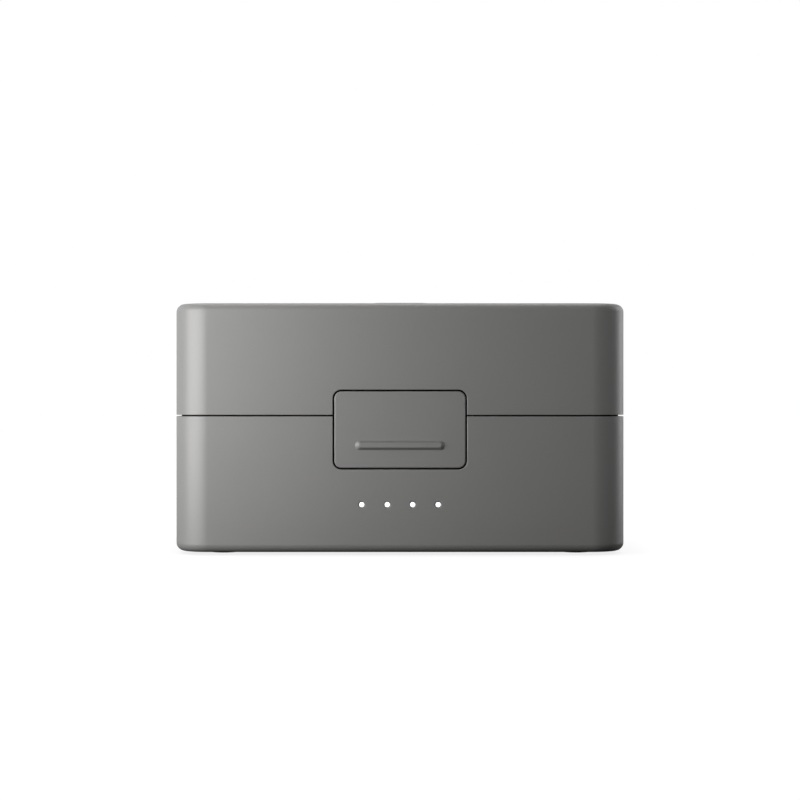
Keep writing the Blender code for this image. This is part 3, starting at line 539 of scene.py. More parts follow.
class Finish(Nodes):
    """A material being made: its nodes, its shader and short ways to add to them."""

    def __init__(self, name, base, roughness, fixed=None):
        self.material = bpy.data.materials.new(name)
        self.material.use_nodes = True
        super().__init__(self.material.node_tree)
        self.shader = self.tree.nodes["Principled BSDF"]
        self.base = (*base, 1.0)
        self.feed("Base Color", self.base)
        self.feed("Roughness", roughness)
        for socket, value in (fixed or {}).items():
            self.feed(socket, value)

    def feed(self, socket, value):
        self.link(self.shader.inputs[socket], value)

    def place(self, stretch):
        """Position on the piece in metres, stretched along each axis."""
        where = self.node("ShaderNodeTexCoord", {}, {}, "Object")
        return self.node("ShaderNodeMapping", {}, {"Vector": where, "Scale": stretch})

    def noise(self, size, detail, stretch=UNSTRETCHED):
        """Noise from 0 to 1 whose features are about this many metres across."""
        inputs = {"Vector": self.place(stretch), "Scale": 1.0 / size, "Detail": detail}
        return self.node("ShaderNodeTexNoise", {}, inputs, "Fac")

    def cells(self, size, stretch, feature, randomness):
        """Distance in a cell pattern whose cells are about this many metres across."""
        inputs = {"Vector": self.place(stretch), "Scale": 1.0 / size, "Randomness": randomness}
        return self.node("ShaderNodeTexVoronoi", {"feature": feature}, inputs, "Distance")

    def mix(self, factor, first, second):
        """Colour between two colours."""
        return self.node("ShaderNodeMix", {"data_type": "RGBA"}, {0: factor, 6: first, 7: second}, 2)

    def shade(self, factor, amount):
        """The base colour, made darker or lighter by a share that follows a 0 to 1 signal."""
        dark = tuple(c * (1 - amount) for c in self.base[:3])
        light = tuple(min(1.0, c * (1 + amount)) for c in self.base[:3])
        self.feed("Base Color", self.mix(factor, (*dark, 1.0), (*light, 1.0)))

    def bump(self, height, depth, strength):
        """Surface relief of a depth in metres."""
        inputs = {"Height": height, "Distance": depth, "Strength": strength}
        self.feed("Normal", self.node("ShaderNodeBump", {}, inputs))


METAL = {"Metallic": 1.0}


def times(tone, factor):
    """A colour made darker or lighter."""
    return tuple(c * factor for c in tone)


def grained(name, base, size, shade, gloss, relief=None, detail=3.0, stretch=UNSTRETCHED, fixed=None):
    """Material with one even grain in its colour, its gloss and, where it has any, its relief.

    The gloss is the least roughness and its span, and the relief a depth in metres and its strength.
    """
    least, span = gloss
    finish = Finish(name, base, least + span / 2, fixed)
    grain = finish.noise(size, detail, stretch)
    finish.shade(grain, shade)
    finish.feed("Roughness", least + grain * span)
    if relief:
        finish.bump(grain, *relief)
    return finish.material


def case_plastic(colours):
    """Satin grey shell with a fine, even spark-eroded texture."""
    finish = Finish("case_plastic", colours.case, 0.42)
    grain = finish.noise(0.00028, 3.0)
    drift = finish.noise(0.018, 1.0)
    finish.shade(grain * 0.6 + drift * 0.4, 0.05)
    finish.feed("Roughness", 0.375 + grain * 0.06 + drift * 0.03)
    finish.bump(grain, 0.000006, 0.5)
    return finish.material


def inner_plastic(colours):
    """Matt black moulding with a coarser texture than the shells."""
    grain = {"size": 0.00045, "relief": (0.00003, 0.7)}
    return grained("inner_plastic", colours.inner, shade=0.25, gloss=(0.50, 0.2), **grain)


def pack_plastic(colours):
    """Dark satin pack case."""
    finish = Finish("pack_plastic", colours.pack, 0.45)
    grain = finish.noise(0.0003, 3.0)
    drift = finish.noise(0.012, 2.0)
    finish.shade(grain * 0.5 + drift * 0.5, 0.12)
    finish.feed("Roughness", 0.38 + grain * 0.12)
    finish.bump(grain, 0.000015, 0.6)
    return finish.material


def pack_label(colours):
    """Smoother bare field on top of a pack."""
    return grained("pack_label", times(colours.pack, 2.2), size=0.004, shade=0.05, gloss=(0.27, 0.1))


def seal_black(colours):
    """Dull black painted shade on the lip in the seam and inside the latch pocket, where these faces lie
    in shade.
    """
    # Painted shade: this black stands in for the shade inside the seam and the latch recess.
    grain = {"size": 0.0003, "detail": 2.0, "relief": (0.00001, 0.5)}
    dull = {"Specular IOR Level": 0.05}
    return grained("seal_black", colours.rubber, shade=0.25, gloss=(0.72, 0.16), fixed=dull, **grain)


def moulded_black(colours):
    """Black epoxy of chips, ferrite and connector blocks."""
    grain = {"size": 0.00025, "detail": 2.0, "relief": (0.00001, 0.5)}
    return grained("moulded_black", colours.rubber, shade=0.3, gloss=(0.40, 0.2), **grain)


def drawn_steel(colours):
    """Bright steel with fine lines along X, as on drawn pins."""
    lines = {"size": 0.0003, "detail": 2.0, "stretch": (0.05, 1.0, 1.0)}
    return grained("drawn_steel", colours.steel, shade=0.08, gloss=(0.22, 0.16), fixed=METAL, **lines)


def screw_steel(colours):
    """Dark plated steel."""
    base = times(colours.steel, 0.5)
    return grained("screw_steel", base, size=0.0004, shade=0.12, gloss=(0.28, 0.16), fixed=METAL)


def black_steel(colours):
    """Steel pin with a black oxide finish, whose darkness also stands in as painted shade in the latch
    gap.
    """
    base = times(colours.steel, 0.05)
    return grained("black_steel", base, size=0.0003, shade=0.2, gloss=(0.40, 0.16), fixed=METAL)


def circuit_board(colours):
    """Solder mask over tracks that show as lighter lines."""
    finish = Finish("circuit_board", colours.board, 0.4)
    track = finish.cells(0.0022, (1.0, 2.5, 1.0), "DISTANCE_TO_EDGE", 0.35) > 0.06
    finish.feed("Base Color", finish.mix(track, (*times(colours.board, 2.0), 1.0), finish.base))
    finish.feed("Roughness", 0.45 - track * 0.1)
    return finish.material


def light_body(colours):
    """Milky moulding of the light guide, seen only in the rim of a window."""
    finish = Finish("light_body", (0.30, 0.30, 0.30), 0.35)
    finish.shade(finish.noise(0.002, 1.0), 0.06)
    return finish.material


def light_window(colours):
    """Lit end of a light-guide prong."""
    finish = Finish("light_window", (0.9, 0.9, 0.9), 0.3, {"Emission Strength": 1.0})
    glow = finish.noise(0.0008, 1.0)
    finish.feed("Emission Color", finish.mix(glow, (0.97, 0.97, 0.97, 1.0), WHITE))
    return finish.material


def finish_named(maker):
    """The material that a maker gives, made once."""
    known = bpy.data.materials.get(maker.__name__)
    return known or maker(bpy.context.scene.finish_colours)


def frame_finish(node):
    """The plain material that a CAD node brings from the frame."""
    return frame["nodes"][node].data.materials[0]


# Shells

KNUCKLE_COUNT = 5
KNUCKLE_ROUND = 0.00018
HINGE_BORE_GAP = 0.00004
LIP_ROUND = 0.0003
NOTCH_RISE = 0.005
FOOT_SEAT_GAP = 0.0001
SEAT_MOUTH = 0.00010
WINDOW_RADIUS = 0.00066
WINDOW_MOUTH = 0.00022
SOCKET_GAP = 0.0003
SOCKET_CORNER = 0.0014
SOCKET_MOUTH = 0.0004
LEDGE_HALF_WIDTH = 0.0070
LEDGE_BELOW_SEAM = 0.0065
LEDGE_HEIGHT = 0.0015
LEDGE_REACH = 0.0018
LEDGE_ROUND = 0.0002
SWING_START_SHARE = 0.9


def back_y():
    return HINGE.y - case_sizes().hinge_standoff


def shell_outline(inset):
    """The case seen from above, taken in by an even distance."""
    return rounded_box_outline((-HALF_WIDTH, FRONT_Y), (HALF_WIDTH, back_y()), case_sizes().corner, inset)


def latch_pocket():
    """Half width, back wall and swing radius of the latch recess."""
    gap = latch_sizes().gap
    radius = math.hypot(PIVOT.y - FRONT_Y, LATCH_HIGH.z + gap - PIVOT.z)
    return LATCH_HIGH.x + gap, PIVOT.y + radius, radius


def latch_recess(depth):
    """Cutter for the hole in the front wall that the latch plate lies in."""
    latch = latch_sizes()
    shape = (LATCH_LOW.xz, LATCH_HIGH.xz, latch.corner)
    return slot_hole("recess", *shape, FRONT_Y, latch.mouth, depth, "Y", latch.gap)


def pocket_block(low_z, high_z):
    """Wall round the back and sides of the recess."""
    wall = latch_sizes().pocket_wall
    half, back, _ = latch_pocket()
    return box("pocket", (-half - wall, FRONT_Y + wall / 2, low_z), (half + wall, back + wall, high_z))


def pocket_room(low_z, high_z):
    """Cutter that clears the recess and its wall."""
    grow = latch_sizes().pocket_wall + case_sizes().fit_gap
    half, back, _ = latch_pocket()
    return box("notch", (-half - grow, FRONT_Y, low_z), (half + grow, back + grow, high_z))


def knuckle(index, way):
    """One hinge knuckle with its arm, above the seam (way 1) or below it (way -1)."""
    sizes = case_sizes()
    span = HINGE_PIN_HIGH.x - HINGE_PIN_LOW.x
    wide = (span - (KNUCKLE_COUNT - 1) * sizes.fit_gap) / KNUCKLE_COUNT
    start = HINGE_PIN_LOW.x + index * (wide + sizes.fit_gap)
    foot = (back_y() - sizes.wall / 2, SEAM_Z + way * sizes.hinge_arm)
    reach = math.hypot(HINGE.y - foot[0], sizes.hinge_arm)
    slope = math.degrees(math.atan2(sizes.hinge_arm, foot[0] - HINGE.y))
    tangent = slope - math.degrees(math.acos(sizes.hinge_radius / reach))
    turn = arc((HINGE.y, 0.0), sizes.hinge_radius, tangent, tangent - 180, ROUND_SIDES // 2)
    neck_z = SEAM_Z + way * (sizes.seam / 2 + sizes.fit_gap)
    outline = [
        foot,
        *[(y, SEAM_Z + way * z) for y, z in turn],
        (back_y() + sizes.fit_gap, neck_z),
        (foot[0], neck_z),
    ]
    return soften(prism("knuckle", outline, start, start + wide, "X"), KNUCKLE_ROUND)


def hinge_bore():
    radius = (HINGE_PIN_HIGH.z - HINGE_PIN_LOW.z) / 2 + HINGE_BORE_GAP
    ends = (HINGE_PIN_LOW.x - OVERRUN, HINGE_PIN_HIGH.x + OVERRUN)
    return rod("bore", radius, *ends, "X", (HINGE.y, HINGE.z))


def lower_profile():
    sizes = case_sizes()
    rim = SEAM_Z - sizes.seam / 2
    lip = sizes.wall - sizes.tongue_wall
    lip_top = SEAM_Z + sizes.seam / 2 + sizes.tongue_rise
    floor = UNDERSIDE_Z + sizes.wall
    return [
        *round_over(sizes.edge, UNDERSIDE_Z + sizes.edge, sizes.edge, -90, 0, EDGE_STEPS),
        *round_over(sizes.rim_round, rim - sizes.rim_round, sizes.rim_round, 0, 90),
        (lip, rim),
        *round_over(lip + LIP_ROUND, lip_top - LIP_ROUND, LIP_ROUND, 0, 90),
        *round_over(sizes.wall - LIP_ROUND, lip_top - LIP_ROUND, LIP_ROUND, 90, 180),
        *round_over(sizes.wall + sizes.edge, floor + sizes.edge, sizes.edge, 180, 270),
    ]


def lid_profile():
    sizes = case_sizes()
    rim = SEAM_Z + sizes.seam / 2
    rebate = sizes.wall - sizes.tongue_wall - sizes.fit_gap / 3
    rebate_top = rim + sizes.tongue_rise + sizes.fit_gap
    ceiling = TOP_Z - sizes.wall
    return [
        *round_over(sizes.edge, TOP_Z - sizes.edge, sizes.edge, 90, 0, EDGE_STEPS),
        *round_over(sizes.rim_round, rim + sizes.rim_round, sizes.rim_round, 0, -90),
        (rebate, rim),
        (rebate, rebate_top),
        (sizes.wall, rebate_top),
        *round_over(sizes.wall + sizes.edge, ceiling - sizes.edge, sizes.edge, 180, 90),
    ]


def window_hole(emitter):
    """The hole in the front wall for one light window."""
    x, _, z = middle(*emitter)
    depth = case_sizes().wall + OVERRUN
    return round_hole("window", WINDOW_RADIUS, (x, z), FRONT_Y, WINDOW_MOUTH, depth, "Y")


def foot_seat(node):
    low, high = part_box(node)
    radius = (high.x - low.x) / 2 + FOOT_SEAT_GAP
    depth = high.z + FOOT_SEAT_GAP - UNDERSIDE_Z
    return round_hole("seat", radius, middle(low, high), UNDERSIDE_Z, SEAT_MOUTH, depth)


def socket_hole():
    """The slot in the back wall that the charging plug goes through."""
    shape = (SOCKET_LOW.xz, SOCKET_HIGH.xz, SOCKET_CORNER)
    depth = -case_sizes().wall - OVERRUN
    return slot_hole("socket_hole", *shape, back_y(), SOCKET_MOUTH, depth, "Y", SOCKET_GAP)


def catch_ledge():
    """The bar inside the recess that the latch hooks under."""
    _, back, _ = latch_pocket()
    top = SEAM_Z - LEDGE_BELOW_SEAM + LEDGE_HEIGHT
    low = (-LEDGE_HALF_WIDTH, back - LEDGE_REACH, top - LEDGE_HEIGHT)
    return soften(box("ledge", low, (LEDGE_HALF_WIDTH, back + OVERRUN / 2, top)), LEDGE_ROUND)


def in_pocket(face):
    """Whether a face belongs to the inside of the latch recess."""
    latch = latch_sizes()
    half, back, radius = latch_pocket()
    x, y, z = face.center
    inside = abs(x) < half + FACE_SLACK
    behind = FRONT_Y + latch.mouth + FACE_SLACK < y < back + FACE_SLACK
    low = LATCH_LOW.z - latch.gap - FACE_SLACK
    return inside and behind and low < z < PIVOT.z + radius + FACE_SLACK


def on_tongue(face):
    """Whether a face belongs to the lip that stands in the seam."""
    return face.center.z > SEAM_Z - case_sizes().seam / 2 + FACE_SLACK and face.center.y < back_y()


def build_lower_case():
    latch = latch_sizes()
    rim = SEAM_Z - case_sizes().seam / 2
    body = profiled("lower_shell", shell_outline, lower_profile())
    cut(body, pocket_room(rim, SEAM_Z + NOTCH_RISE))
    _, back, _ = latch_pocket()
    add(body, pocket_block(LATCH_LOW.z - latch.gap - latch.pocket_wall, rim))
    cut(body, latch_recess(back - FRONT_Y))
    add(body, catch_ledge())
    cut(body, *[window_hole(emitter) for emitter in EMITTERS])
    cut(body, *[foot_seat(f"foot_{end}") for end in ENDS])
    cut(body, socket_hole())
    add(body, *[knuckle(index, -1) for index in range(0, KNUCKLE_COUNT, 2)])
    cut(body, hinge_bore())
    dress(smooth(body), finish_named(case_plastic))
    # Painted shade: the lip in the seam and the inside of the latch recess are made dull black, as they
    # lie in shade.
    paint(body, finish_named(seal_black), on_tongue)
    paint(body, finish_named(seal_black), in_pocket)
    return fit(body, "base", "case_grey", "lower_case")


def swing_room():
    """Cutter behind the lid's skin, where the latch plate swings about its pin."""
    half, back, radius = latch_pocket()
    start_y = FRONT_Y + latch_sizes().skin * SWING_START_SHARE
    front_angle = math.degrees(math.acos((start_y - PIVOT.y) / radius))
    swing = arc((PIVOT.y, PIVOT.z), radius, 0, front_angle, ROUND_SIDES)
    below = SEAM_Z - case_sizes().seam
    return prism("swing", [(start_y, below), (back, below), *swing], -half, half, "X")


def build_lid():
    latch = latch_sizes()
    body = profiled("lid_shell", shell_outline, lid_profile())
    _, _, radius = latch_pocket()
    add(body, pocket_block(SEAM_Z + case_sizes().seam / 2, PIVOT.z + radius + latch.pocket_wall))
    cut(body, latch_recess(latch.skin))
    cut(body, swing_room(), spring_hole(), badge_seat())
    add(body, *[knuckle(index, 1) for index in range(1, KNUCKLE_COUNT, 2)])
    cut(body, hinge_bore())
    dress(smooth(body), finish_named(case_plastic))
    # Painted shade: the inside of the latch recess is made dull black, as it lies in shade.
    paint(body, finish_named(seal_black), in_pocket)
    return fit(body, "lid", "case_grey", "lid_cover")


# Badge plate

BADGE_CORNER = (BADGE_HIGH.y - BADGE_LOW.y) / 2
BADGE_SEAT_GAP = 0.0001
BADGE_EDGE = 0.0002


def badge_seat():
    depth = BADGE_LOW.z - BADGE_SEAT_GAP - TOP_Z
    shape = (BADGE_LOW, BADGE_HIGH, BADGE_CORNER)
    return slot_hole("badge_seat", *shape, TOP_Z, BADGE_SEAT_GAP, depth, gap=BADGE_SEAT_GAP)


def build_badge():
    profile = [
        (0.0, BADGE_LOW.z),
        *round_over(BADGE_EDGE, BADGE_HIGH.z - BADGE_EDGE, BADGE_EDGE, 0, 90),
    ]
    plate = profiled(
        "badge_plate",
        lambda inset: rounded_box_outline(BADGE_LOW, BADGE_HIGH, BADGE_CORNER, inset),
        profile,
    )
    dress(smooth(plate), finish_named(case_plastic))
    return fit(plate, "lid", "case_grey", "lid_badge")


# Latch

HOOK_HALF_WIDTH = 0.0060
HOOK_BELOW_SEAM = 0.0068
HOOK_HEIGHT = 0.0015
HOOK_ROUND = 0.00015
BARREL_INSET = 0.0004
PIN_BORE_GAP = 0.00006
SLOT_HALF_WIDTH = 0.0018
COIL_ROOM_WALL = 0.0003
RIB_CORNER_SHARE = 0.48

# Rib profile from its foot to its top: share of the side's width, share of the height
RIB_PROFILE = ((0.0, -1.0), (0.0, 0.0), (0.84, 0.92), (0.93, 0.98), (1.0, 1.0))


def latch_rib():
    """Raised finger rib with sloped sides and longer, rounder ends."""
    latch = latch_sizes()
    proud = FRONT_Y - LATCH_LOW.y
    rings = []
    for side, rise in RIB_PROFILE:
        centre = (0.0, SEAM_Z - latch.rib_below + side * latch.rib_lift)
        height = latch.rib_height - 2 * side * latch.rib_slope
        wide = latch.rib_length - 2 * side * latch.rib_end
        outline = rounded_rectangle(wide, height, height * RIB_CORNER_SHARE, centre)
        rings.append((outline, FRONT_Y - proud * rise))
    return loft("rib", rings, "Y")


def latch_hook():
    """Tooth behind the plate with a lead-in ramp."""
    thick = latch_sizes().thick
    top = SEAM_Z - HOOK_BELOW_SEAM
    root = FRONT_Y + thick / 2
    tip = LATCH_HIGH.y
    side = [
        (root, top),
        (root, top - 2 * HOOK_HEIGHT),
        (FRONT_Y + thick, top - 2 * HOOK_HEIGHT),
        (tip, top - HOOK_HEIGHT / 2),
        (tip, top),
    ]
    return soften(prism("hook", side, -HOOK_HALF_WIDTH, HOOK_HALF_WIDTH, "X"), HOOK_ROUND)


def build_latch():
    latch = latch_sizes()
    back = FRONT_Y + latch.thick
    profile = [
        *round_over(latch.edge, back - latch.edge, latch.edge, 90, 0),
        *round_over(latch.edge, FRONT_Y + latch.edge, latch.edge, 0, -90),
    ]
    lever = profiled(
        "latch_plate",
        lambda inset: rounded_box_outline(LATCH_LOW.xz, LATCH_HIGH.xz, latch.corner, inset),
        profile,
        "Y",
    )
    pivot = (PIVOT.y, PIVOT.z)
    barrel_half = LATCH_HIGH.x - BARREL_INSET - latch.gap
    add(lever, rod("barrel", latch.barrel, -barrel_half, barrel_half, "X", pivot))
    add(lever, latch_hook(), latch_rib())
    pin_low, pin_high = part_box("latch_pin")
    bore = (pin_high.z - pin_low.z) / 2 + PIN_BORE_GAP
    cut(lever, rod("bore", bore, pin_low.x, pin_high.x, "X", pivot))
    reach = latch.barrel + OVERRUN
    low = (-SLOT_HALF_WIDTH, back, PIVOT.z - reach)
    cut(lever, box("slot", low, (SLOT_HALF_WIDTH, PIVOT.y + reach, PIVOT.z + reach)))
    room = latch.barrel - COIL_ROOM_WALL
    cut(lever, rod("coil_room", room, -SLOT_HALF_WIDTH, SLOT_HALF_WIDTH, "X", pivot))
    dress(smooth(lever), finish_named(case_plastic))
    return fit(lever, "latch", "case_grey", "latch_lever")


# Latch spring

SPRING_WIRE = 0.00015
SPRING_COIL = 0.00105
SPRING_TURNS = 4.5
SPRING_BEND = 0.0003
SPRING_GAP = 0.0001
SPRING_FIRST = SPRING_LOW.x + SPRING_WIRE
COIL_STEPS = 40


def spring_hole():
    """Hole in the lid's pocket wall for one leg of the spring."""
    _, back, _ = latch_pocket()
    ends = (back - OVERRUN, SPRING_HIGH.y + SPRING_GAP)
    centre = (SPRING_FIRST, PIVOT.z - SPRING_COIL)
    return rod("spring_hole", SPRING_WIRE + SPRING_GAP, *ends, "Y", centre)


def spring_route():
    """Centreline of the spring: a leg in the pocket wall, the coil, and a bent leg on the plate's back."""
    steps = round(SPRING_TURNS * COIL_STEPS)
    route = [(SPRING_FIRST, SPRING_HIGH.y - PIVOT.y, -SPRING_COIL)]
    for i in range(steps + 1):
        angle = math.radians(-90 - SPRING_TURNS * 360 * i / steps)
        along = SPRING_FIRST * (1 - 2 * i / steps)
        route.append((along, SPRING_COIL * math.cos(angle), SPRING_COIL * math.sin(angle)))
    plate_back = FRONT_Y + latch_sizes().thick - PIVOT.y
    leg = plate_back + SPRING_WIRE + 2 * SPRING_GAP
    bend = arc((leg - SPRING_BEND, SPRING_COIL + SPRING_BEND), SPRING_BEND, -90, 0, EDGE_STEPS)
    route += [(-SPRING_FIRST, y, z) for y, z in bend]
    route.append((-SPRING_FIRST, leg, SPRING_HIGH.z - PIVOT.z))
    return [(x, PIVOT.y + y, PIVOT.z + z) for x, y, z in route]


def build_spring():
    """Torsion spring as one wire from a leg in the pocket wall, round the coil, to a leg on the latch
    plate's back.
    """
    spring = wire("spring_wire", spring_route(), SPRING_WIRE)
    dress(smooth(spring), finish_named(drawn_steel))
    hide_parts("latch_spring")
    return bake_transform(spring)


# Light windows

WINDOW_GAP = 0.00010
WINDOW_DOME = 0.00008
DOME_TURN = 80
GUIDE_GAP = 0.0001
GUIDE_ROUND = 0.0002


def is_lit(face):
    """Whether a face belongs to the domed end of a prong."""
    return face.center.y < GUIDE_LOW.y + WINDOW_DOME


def build_lights():
    """One light guide with a domed, lit prong in each window."""
    body = finish_named(light_body)
    bar_low = (GUIDE_LOW.x, FRONT_Y + case_sizes().wall + GUIDE_GAP, GUIDE_LOW.z)
    pieces = [dress(soften(box("bar", bar_low, GUIDE_HIGH), GUIDE_ROUND), body)]
    radius = WINDOW_RADIUS - WINDOW_GAP
    for emitter in EMITTERS:
        x, _, z = middle(*emitter)
        side = circle(radius, (x, z))
        rings = [(side, bar_low[1]), (side, GUIDE_LOW.y + WINDOW_DOME)]
        for i in range(1, SMALL_STEPS + 1):
            turn = math.radians(DOME_TURN * i / SMALL_STEPS)
            along = GUIDE_LOW.y + WINDOW_DOME * (1 - math.sin(turn))
            rings.append((circle(radius * math.cos(turn), (x, z)), along))
        prong = dress(loft("prong", rings, "Y"), body)
        paint(prong, finish_named(light_window), is_lit)
        pieces.append(prong)
    guide = smooth(join("light_windows", pieces))
    return fit(guide, "base", "light_clear", "light_guide")


# Feet

FOOT_EDGE = 0.00025


def build_feet():
    low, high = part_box("foot_front_left")
    radius = (high.x - low.x) / 2
    profile = [*round_over(FOOT_EDGE, FOOT_EDGE, FOOT_EDGE, -90, 0), (0.0, high.z - low.z)]
    pattern = profiled("foot_pattern", lambda inset: circle(radius - inset), profile)
    dress(pattern, frame_finish("foot_front_left"))
    for end in ENDS:
        set_in(pattern, f"foot_pad_{end}", "base", "foot_rubber", f"foot_{end}")
    bpy.data.objects.remove(pattern)


# Tray

BAY_GAP = 0.0003
BAY_MOUTH = 0.0005
PACK_CORNER = 0.0025
TRAY_WALL = 0.0015
TRAY_FLANGE = 0.0016
TRAY_FLOOR = 0.0014
WELL_ROUND = 0.0006
FLANGE_ROUND = 0.00025
SCREW_RADIUS = 0.00075
SCREW_HOLE_GAP = 0.00015


def flange(name, low_z, high_z):
    """Plate that fills the case's inside, less the latch pocket."""
    sizes = case_sizes()
    inset = sizes.wall + sizes.fit_gap
    profile = [
        *round_over(inset + FLANGE_ROUND, low_z + FLANGE_ROUND, FLANGE_ROUND, -90, 0),
        *round_over(inset + FLANGE_ROUND, high_z - FLANGE_ROUND, FLANGE_ROUND, 0, 90),
    ]
    return cut(profiled(name, shell_outline, profile), pocket_room(low_z - OVERRUN, high_z + OVERRUN))


def screw_holes(kind):
    for end in ENDS:
        low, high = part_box(f"{kind}_{end}")
        yield rod("hole", SCREW_RADIUS + SCREW_HOLE_GAP, low.z, high.z, "Z", middle(low, high))


def build_tray():
    tray = flange("tray_plate", TRAY_HIGH.z - TRAY_FLANGE, TRAY_HIGH.z)
    first = PACKS["left"][0]
    last = PACKS["right"][1]
    grow = BAY_GAP + TRAY_WALL
    low = (first.x - grow, first.y - grow, TRAY_LOW.z)
    high = (last.x + grow, last.y + grow, TRAY_HIGH.z - TRAY_FLANGE / 2)
    add(tray, soften(box("wells", low, high), WELL_ROUND))
    depth = TRAY_LOW.z + TRAY_FLOOR - TRAY_HIGH.z
    for pack in PACKS.values():
        cut(tray, slot_hole("bay", *pack, PACK_CORNER, TRAY_HIGH.z, BAY_MOUTH, depth, gap=BAY_GAP))
    cut(tray, *screw_holes("tray_screw"))
    dress(smooth(tray), finish_named(inner_plastic))
    return fit(tray, "base", "inner_black", "battery_tray")


# Packs

PACK_EDGE = 0.0008
PARTING_DEPTH = 0.00015
PARTING_HEIGHT = 0.0003
PARTING_SHARE = 0.8
LABEL_INSET = 0.0030
LABEL_DEPTH = 0.0002
LABEL_SHARE = 0.62
LABEL_LEVEL = 0.9
GRIP_COUNT = 5
GRIP_PITCH = 0.0016
GRIP_WIDTH = 0.0008
GRIP_DEPTH = 0.0005


def block_size(node):
    """Half width, half depth and height of a node's box."""
    low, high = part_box(node)
    return (high.x - low.x) / 2, (high.y - low.y) / 2, high.z - low.z


def block(name, half_x, half_y, corner, profile):
    """Block with round upright corners about the origin."""
    low, high = (-half_x, -half_y), (half_x, half_y)
    return profiled(name, lambda inset: rounded_box_outline(low, high, corner, inset), profile)


def pack_profile(tall):
    seam = tall * PARTING_SHARE
    return [
        *round_over(PACK_EDGE, PACK_EDGE, PACK_EDGE, -90, 0),
        (0.0, seam),
        (PARTING_DEPTH, seam + PARTING_DEPTH),
        (PARTING_DEPTH, seam + PARTING_HEIGHT),
        (0.0, seam + PARTING_HEIGHT + PARTING_DEPTH),
        *round_over(PACK_EDGE, tall - PACK_EDGE, PACK_EDGE, 0, 90, EDGE_STEPS),
    ]


def build_packs():
    """Packs with a parting line, a bare label field and finger grooves on top."""
    half_x, half_y, tall = block_size("battery_left")
    pattern = block("pack_pattern", half_x, half_y, PACK_CORNER, pack_profile(tall))
    low = (-half_x + LABEL_INSET, -half_y + LABEL_INSET)
    high = (half_x - LABEL_INSET, low[1] + (half_y - LABEL_INSET) * 2 * LABEL_SHARE)
    cut(pattern, slot_hole("label", low, high, PACK_EDGE, tall, LABEL_DEPTH / 2, -LABEL_DEPTH))
    for i in range(GRIP_COUNT):
        y = half_y - LABEL_INSET - GRIP_WIDTH - i * GRIP_PITCH
        low = (-half_x + 2 * LABEL_INSET, y - GRIP_WIDTH / 2)
        high = (half_x - 2 * LABEL_INSET, y + GRIP_WIDTH / 2)
        cut(pattern, slot_hole("groove", low, high, GRIP_WIDTH / 2, tall, GRIP_DEPTH / 3, -GRIP_DEPTH))

    def on_label(face):
        at_depth = abs(face.center.z - (tall - LABEL_DEPTH)) < LABEL_DEPTH / 4
        return at_depth and face.normal.z > LABEL_LEVEL

    dress(pattern, finish_named(pack_plastic))
    paint(pattern, finish_named(pack_label), on_label)
    for side in SIDES:
        set_in(pattern, f"battery_pack_{side}", "base", "pack_grey", f"battery_{side}")
    bpy.data.objects.remove(pattern)


# Lid liner and pads

LINER_WALL = 0.0012
LINER_SIDE_GAP = 0.0007
LINER_CORNER = 0.0020
CUP_ROUND = 0.0006
PAD_EDGE = 0.0012
PAD_CORNER = 0.0025


def build_liner():
    liner = flange("liner_plate", LINER_LOW.z, LINER_LOW.z + LINER_WALL)
    _, back, _ = latch_pocket()
    first = PACKS["left"][0]
    last = PACKS["right"][1]
    front = back + latch_sizes().pocket_wall + case_sizes().fit_gap + LINER_WALL
    low = (first.x - LINER_SIDE_GAP, front)
    high = (last.x + LINER_SIDE_GAP, last.y + LINER_SIDE_GAP)
    outer = rounded_box_outline(low, high, LINER_CORNER, -LINER_WALL)
    add(liner, soften(prism("cup", outer, LINER_LOW.z + LINER_WALL / 2, LINER_HIGH.z), CUP_ROUND))
    depth = LINER_HIGH.z - LINER_WALL - LINER_LOW.z
    cut(liner, slot_hole("cup_inside", low, high, LINER_CORNER, LINER_LOW.z, BAY_MOUTH, depth))
    cut(liner, *screw_holes("liner_screw"))
    dress(smooth(liner), finish_named(inner_plastic))
    return fit(liner, "lid", "inner_black", "lid_liner")


def build_pads():
    """Foam blocks whose lower edges are pressed round."""
    half_x, half_y, tall = block_size("lid_pad_left")
    profile = [*round_over(PAD_EDGE, PAD_EDGE, PAD_EDGE, -90, 0, EDGE_STEPS), (0.0, tall)]
    pattern = block("pad_pattern", half_x, half_y, PAD_CORNER, profile)
    dress(pattern, frame_finish("lid_pad_left"))
    for side in SIDES:
        pad = set_in(pattern, f"foam_pad_{side}", "lid", "pad_foam", f"lid_pad_{side}")
    bpy.data.objects.remove(pattern)


# Screws

SCREWS = (("tray_screw", -1, "base"), ("board_screw", -1, "base"), ("liner_screw", 1, "lid"))
SCREW_TIP_SHARE = 0.6
SCREW_HEAD_RADIUS = 0.0014
SCREW_HEAD_HEIGHT = 0.0010
SCREW_HEAD_ROUND = 0.0004
CROSS_WIDTH = 0.0004
CROSS_LENGTH = 0.0016
CROSS_DEPTH = 0.0006


